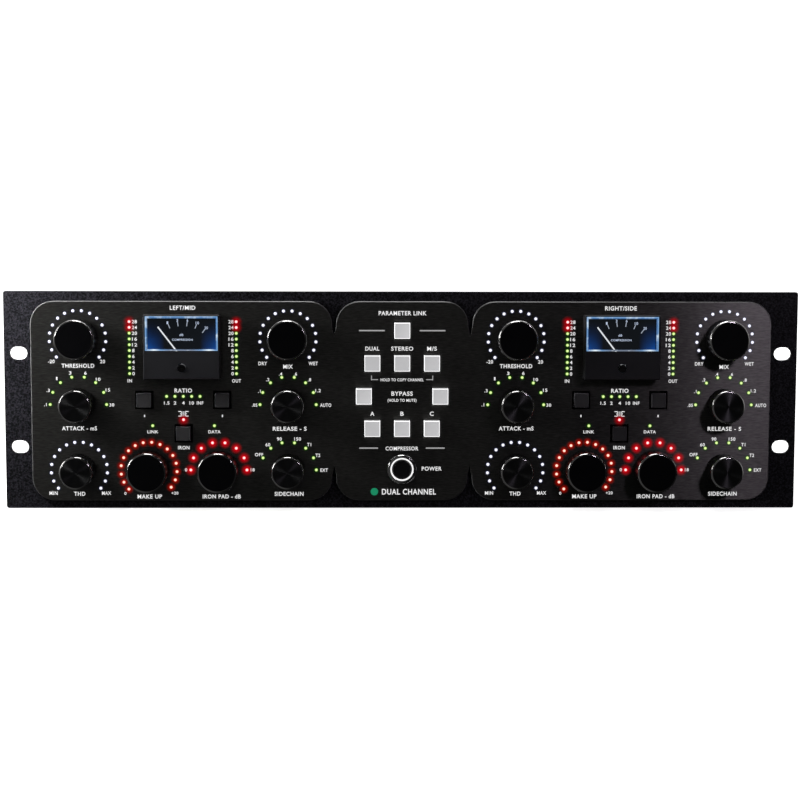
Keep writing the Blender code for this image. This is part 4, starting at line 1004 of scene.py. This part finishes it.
# ---- screws, labels and sockets

def make_screws(name, places, way, look):
    """Domed screw heads with a hexagon socket, each on the surface at its place."""
    profile = [(out * SCREW_RADIUS, -up * SCREW_HEIGHT) for out, up in SCREW_SECTION]
    bm = bmesh.new()
    for place in places:
        rings = lathe(bm, profile, SCREW_SIDES, hexagons=SCREW_SOCKET)
        verts = [vert for ring in rings for vert in ring]
        bmesh.ops.rotate(bm, verts=verts, cent=(0, 0, 0), matrix=TURNS[way])
        bmesh.ops.translate(bm, verts=verts, vec=place)
    piece(name, finished(bm, name), [look], smooth_deg=30)


def between(low, high, shares):
    """The places at given shares of the way from low to high."""
    return [low + (high - low) * share for share in shares]


def make_case_screws(look):
    """The screws of the cover, the rear panel and the sides."""
    low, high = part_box("top_cover")
    across = (low.x + COVER_SCREWS_IN, high.x - COVER_SCREWS_IN)
    along = between(low.y, high.y, COVER_SCREWS_ALONG)
    make_screws("top_cover_screws", [(x, y, high.z) for x in across for y in along], "top", look)
    low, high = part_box("rear_panel")
    across = between(low.x, high.x, REAR_SCREWS_ALONG)
    rows = (low.z + REAR_SCREWS_IN, high.z - REAR_SCREWS_IN)
    make_screws("rear_panel_screws", [(x, high.y, z) for x in across for z in rows], "rear", look)
    for side in SIDES:
        low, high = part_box(f"{side}_side_plate")
        x = low.x if side == "left" else high.x
        along = between(low.y, high.y, SIDE_SCREWS_ALONG)
        rows = between(low.z, high.z, SIDE_SCREWS_UP)
        make_screws(f"{side}_side_screws", [(x, y, z) for y in along for z in rows], side, look)


def print_rear(white):
    """Plain labels above the connectors and the inlet, read from behind."""
    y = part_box("rear_panel")[1].y + PRINT_LIFT
    labels = {"mains_inlet": ("MAINS", MAINS_WIDTH)}
    for side in SIDES:
        for kind, word in REAR_WORDS.items():
            text = f"{side.upper()} {word}"
            labels[f"{side}_{kind}_connector"] = (text, REAR_LETTER * len(text))
    bm = bmesh.new()
    for node, (text, width) in labels.items():
        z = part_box(node)[1].z + REAR_WORD_RISE
        words(bm, text, middle_of(node).x, z, REAR_WORD_HEIGHT, width, y, way=-1)
    face_outwards(bm, 1)
    piece("rear_print", mesh_of(bm, "rear_print"), [white])


def connector_look(name, centre, insert_radius):
    """A nickel shell round a black insert, told apart by the distance from the connector's axis."""
    look = Shader(name, (0.5, 0.49, 0.47), 0.3, 1.0)
    offsets = [look.distance(look.along(axis), at) for axis, at in (("X", centre.x), ("Z", centre.z))]
    squares = [look.times(offset, offset) for offset in offsets]
    inside = look.math("LESS_THAN", look.math("ADD", *squares), insert_radius**2)
    look.set("Base Color", look.blend(inside, look.colour, (0.01, 0.01, 0.011)))
    look.set("Metallic", look.spread(inside, 1.0, 0.0))
    worn = look.spread(look.noise(400.0), 0.22, 0.4, 0.3, 0.7)
    look.set("Roughness", look.math("MAXIMUM", worn, look.times(inside, 0.5)))
    return look.material


# ---- stage

def area_light(name, at, aim, size, power, colour):
    """A rectangular lamp that looks from one place to another."""
    data = bpy.data.lights.new(name, "AREA")
    data.shape, data.size, data.size_y = "RECTANGLE", size[0], size[1]
    data.energy, data.color = power, colour
    made = put(name, data, at)
    made.rotation_euler = (Vector(aim) - Vector(at)).to_track_quat("-Z", "Y").to_euler()
    return made


def make_stage():
    """A plain pale floor that curves up into a backdrop all round, and keeps its light off the dark panel."""
    look = Shader("pale_floor", (0.9, 0.9, 0.9), 0.9, specular=0.1)
    look.tint(look.noise(6.0), 0.99, 1.01)
    look.emit(WHITE, FLOOR_GLOW)
    profile = [(0.0, 0.0)]
    for step in range(FLOOR_BEND_STEPS + 1):
        angle = math.pi / 2 * step / FLOOR_BEND_STEPS
        profile.append((FLOOR_RADIUS + FLOOR_BEND * math.sin(angle), -FLOOR_BEND * (1 - math.cos(angle))))
    profile.append((FLOOR_RADIUS + FLOOR_BEND, -FLOOR_BEND - FLOOR_WALL))
    bm = bmesh.new()
    lathe(bm, profile, FLOOR_SIDES)
    bmesh.ops.rotate(bm, verts=bm.verts, cent=(0, 0, 0), matrix=TURNS["top"])
    bmesh.ops.translate(bm, verts=bm.verts, vec=(0, 0, -FLOOR_DROP))
    mesh = mesh_of(bm, "floor")
    mesh.materials.append(look.material)
    floor = put("floor", mesh)
    floor.visible_glossy = False
    floor.visible_diffuse = False
    floor.visible_shadow = False


def make_world():
    """Dark in front of the panel, most of all on its right, and a soft light from behind and above."""
    world = bpy.data.worlds.new("studio")
    world.use_nodes = True
    nodes = Nodes(world.node_tree)
    place = nodes.node("ShaderNodeTexCoord").outputs["Generated"]
    parts = nodes.node("ShaderNodeSeparateXYZ", {0: place}).outputs
    back = nodes.spread(parts["Y"], 0.0, 1.0, *WORLD_BEHIND_Y)
    upper = nodes.spread(parts["Z"], 0.0, 1.0, *WORLD_BEHIND_Z)
    front = nodes.spread(parts["X"], *WORLD_FRONT, *WORLD_FRONT_X)
    level = nodes.spread(nodes.times(back, upper), front, WORLD_BEHIND)
    background = nodes.tree.nodes["Background"]
    nodes.feed(background.inputs["Strength"], level)
    nodes.feed(background.inputs["Color"], WHITE)
    bpy.context.scene.world = world


def make_lights():
    """The lights on the panel, of which left_lamp leaves no reflection, and the one on the floor."""
    for name, (place, size, power, colour) in LIGHTS.items():
        at = MIDDLE + Vector(place)
        aim = at - Vector((0, 0, 1)) if name == "overhead" else MIDDLE
        light = area_light(name, at, aim, size, power, colour)
        light.visible_glossy = name != "left_lamp"
    area_light("floor_wash", *FLOOR_WASH, WHITE)
    make_world()


def make_camera():
    """A camera in front of the panel and a little above it."""
    camera = bpy.data.cameras.new("camera")
    camera.lens = CAMERA_LENS
    camera.sensor_width = CAMERA_SENSOR
    made = put("camera", camera, MIDDLE + Vector(CAMERA_OFFSET))
    level = (Vector(CAMERA_AIM) - Vector(CAMERA_OFFSET)).to_track_quat("-Z", "Y")
    roll = Quaternion((0, 0, 1), math.radians(CAMERA_ROLL_DEG))
    made.rotation_euler = (level @ roll).to_euler()
    bpy.context.scene.camera = made


# ---- everything together

def dress(material, *nodes):
    """Gives CAD nodes that stay visible their material."""
    for node in nodes:
        mesh = frame["nodes"][node].data
        mesh.materials.clear()
        mesh.materials.append(material)


def diode_looks():
    """Each kind of diode's lens, scattered light and how far that reaches."""
    lenses = {name: glowing(f"{name}_lens", *look) for name, look in LENSES.items()}
    looks = {}
    for name, (lens, *light, reach) in DIODES.items():
        looks[name] = (lenses[lens], halo(f"{name}_glow", *light), reach)
    return looks


def dress_meters():
    """The looks of both meters, and their windows and print."""
    housing = moulded("meter_black", (0.026, 0.026, 0.029), 0.42, 0.35)
    screw = polished("adjust_screw_black", (0.05, 0.05, 0.05), 0.3)
    needle = ink("needle_white", (0.92, 0.96, 1.0), 0.95)
    ticks = ink("dial_tick", (0.46, 0.52, 0.62), 0.95)
    numbers = ink("dial_number", (0.55, 0.64, 0.82), 1.0)
    for side in SIDES:
        low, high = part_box(f"{side}_meter_window")
        looks = {"clear": window_plastic(f"{side}_window_clear")}
        for kind, colours in BORDER_LOOKS.items():
            looks[kind] = lamp_border(f"{side}_window_{kind}", (high.x - low.x) / 2, *colours)
        make_window(side, looks)
        print_dial(side, [numbers, ticks])
        dress(housing, f"{side}_meter_housing")
        dress(screw, f"{side}_meter_adjust_screw")
        dress(needle, f"{side}_meter_needle")
        dress(dial_face(f"{side}_dial_blue", low, high), f"{side}_meter_dial")


def dress_case(white):
    """The looks of what is behind the front, and the case's screws and labels."""
    sheet = powder_coat("sheet_black", (0.02, 0.02, 0.021), 0.55, 0.4, (0.6, 1.8))
    dress(sheet, "bottom_plate", "top_cover", "rear_panel")
    dress(moulded("inlet_black", (0.02, 0.02, 0.021), 0.4), "mains_inlet")
    dress(taped_winding("winding_tape"), "power_transformer")
    side_metal = brushed("side_black", (0.09, 0.09, 0.092), 0.42, 0.7, 0.9, "Y")
    can = polished("transformer_can", (0.4, 0.4, 0.41), 0.3)
    for side in SIDES:
        dress(side_metal, f"{side}_side_plate")
        dress(can, f"{side}_output_transformer")
        for kind, insert_radius in INSERT_RADIUS.items():
            node = f"{side}_{kind}_connector"
            dress(connector_look(node, middle_of(node), insert_radius), node)
    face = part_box("audio_board")[0].z + AUDIO_BOARD_FACE
    green = circuit_board("board_green", (0.01, 0.1, 0.035), (0.03, 0.03, 0.035), face)
    dress(green, "audio_board")
    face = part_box("control_board")[1].y - CONTROL_BOARD_FACE
    black = circuit_board("board_black", (0.01, 0.012, 0.011), (0.06, 0.06, 0.06), face, "Y", "LESS_THAN")
    dress(black, "control_board")
    make_case_screws(polished("screw_black", (0.08, 0.08, 0.082), 0.35))
    print_rear(white)


def main():
    """Builds the front first, then the meters, the case and the studio."""
    plate_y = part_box("faceplate")[0].y
    powder = powder_coat("powder_black", (0.0115, 0.0112, 0.0138))
    plate = brushed("brushed_black", (0.13, 0.128, 0.121), 0.37, 0.95, 0.88)
    plate_edge = polished("plate_edge", (0.2, 0.2, 0.2), 0.3, 0.5)
    panel_edge = polished("panel_edge", (0.03, 0.03, 0.033), 0.45, 0.3)
    make_plate("front_panel", [powder, panel_edge], PANEL_CHAMFER)
    make_plate("faceplate", [plate, plate_edge], PLATE_CHAMFER)
    make_knobs(
        turned_metal("knob_face", (0.07, 0.07, 0.072), 0.36),
        moulded("knob_face_large", (0.0025, 0.0025, 0.003), 0.42, 0.12),
        polished("knob_rim", (0.68, 0.67, 0.66), 0.12),
        polished("knob_wall", (0.05, 0.05, 0.055), 0.28),
    )
    plastic = moulded("plastic_black", (0.008, 0.008, 0.009), 0.35)
    light_caps = [lit_cap("cap_light", (1.0, 1.0, 1.01), 0.44), lit_cap("cap_edge", WHITE, 1.5)]
    dark_caps = [
        moulded("cap_dark", (0.056, 0.0555, 0.057), 0.45),
        moulded("cap_dark_edge", (0.09, 0.088, 0.095), 0.3),
    ]
    make_square_buttons(light_caps, dark_caps)
    bezel = polished("bezel_grey", (0.7, 0.7, 0.7), 0.12)
    make_power_button(bezel, lit_cap("ring_white", WHITE, 1.0), plastic)

    white = ink("print_white", (0.85, 0.85, 0.85), 0.95)
    grey = ink("print_grey", (0.45, 0.45, 0.45), 0.75)
    green = ink("print_green", (0.02, 0.42, 0.2), 0.5)
    looks = diode_looks()
    for side in SIDES:
        make_diodes(side, looks, plate_y)
        print_channel(side, plate_y - PRINT_LIFT, white)
    print_middle(plate_y - PRINT_LIFT, white, grey, green)
    dress_meters()
    dress_case(white)
    make_stage()
    make_lights()
    make_camera()


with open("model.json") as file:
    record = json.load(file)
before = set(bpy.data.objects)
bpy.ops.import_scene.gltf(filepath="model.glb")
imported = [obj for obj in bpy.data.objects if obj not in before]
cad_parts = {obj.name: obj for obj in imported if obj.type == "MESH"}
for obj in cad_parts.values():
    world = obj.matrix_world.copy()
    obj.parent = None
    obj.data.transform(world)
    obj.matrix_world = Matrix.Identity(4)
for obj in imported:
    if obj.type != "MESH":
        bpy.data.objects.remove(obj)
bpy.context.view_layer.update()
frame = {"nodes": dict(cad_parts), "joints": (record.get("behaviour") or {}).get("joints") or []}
PANEL_LOW, PANEL_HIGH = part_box("front_panel")
MIDDLE = Vector(((PANEL_LOW.x + PANEL_HIGH.x) / 2, PANEL_LOW.y, (PANEL_LOW.z + PANEL_HIGH.z) / 2))
CAPITAL_HEIGHT = max(vert.co.y for vert in text_mesh("H").vertices)
bpy.context.scene.view_settings.view_transform = "Standard"
main()
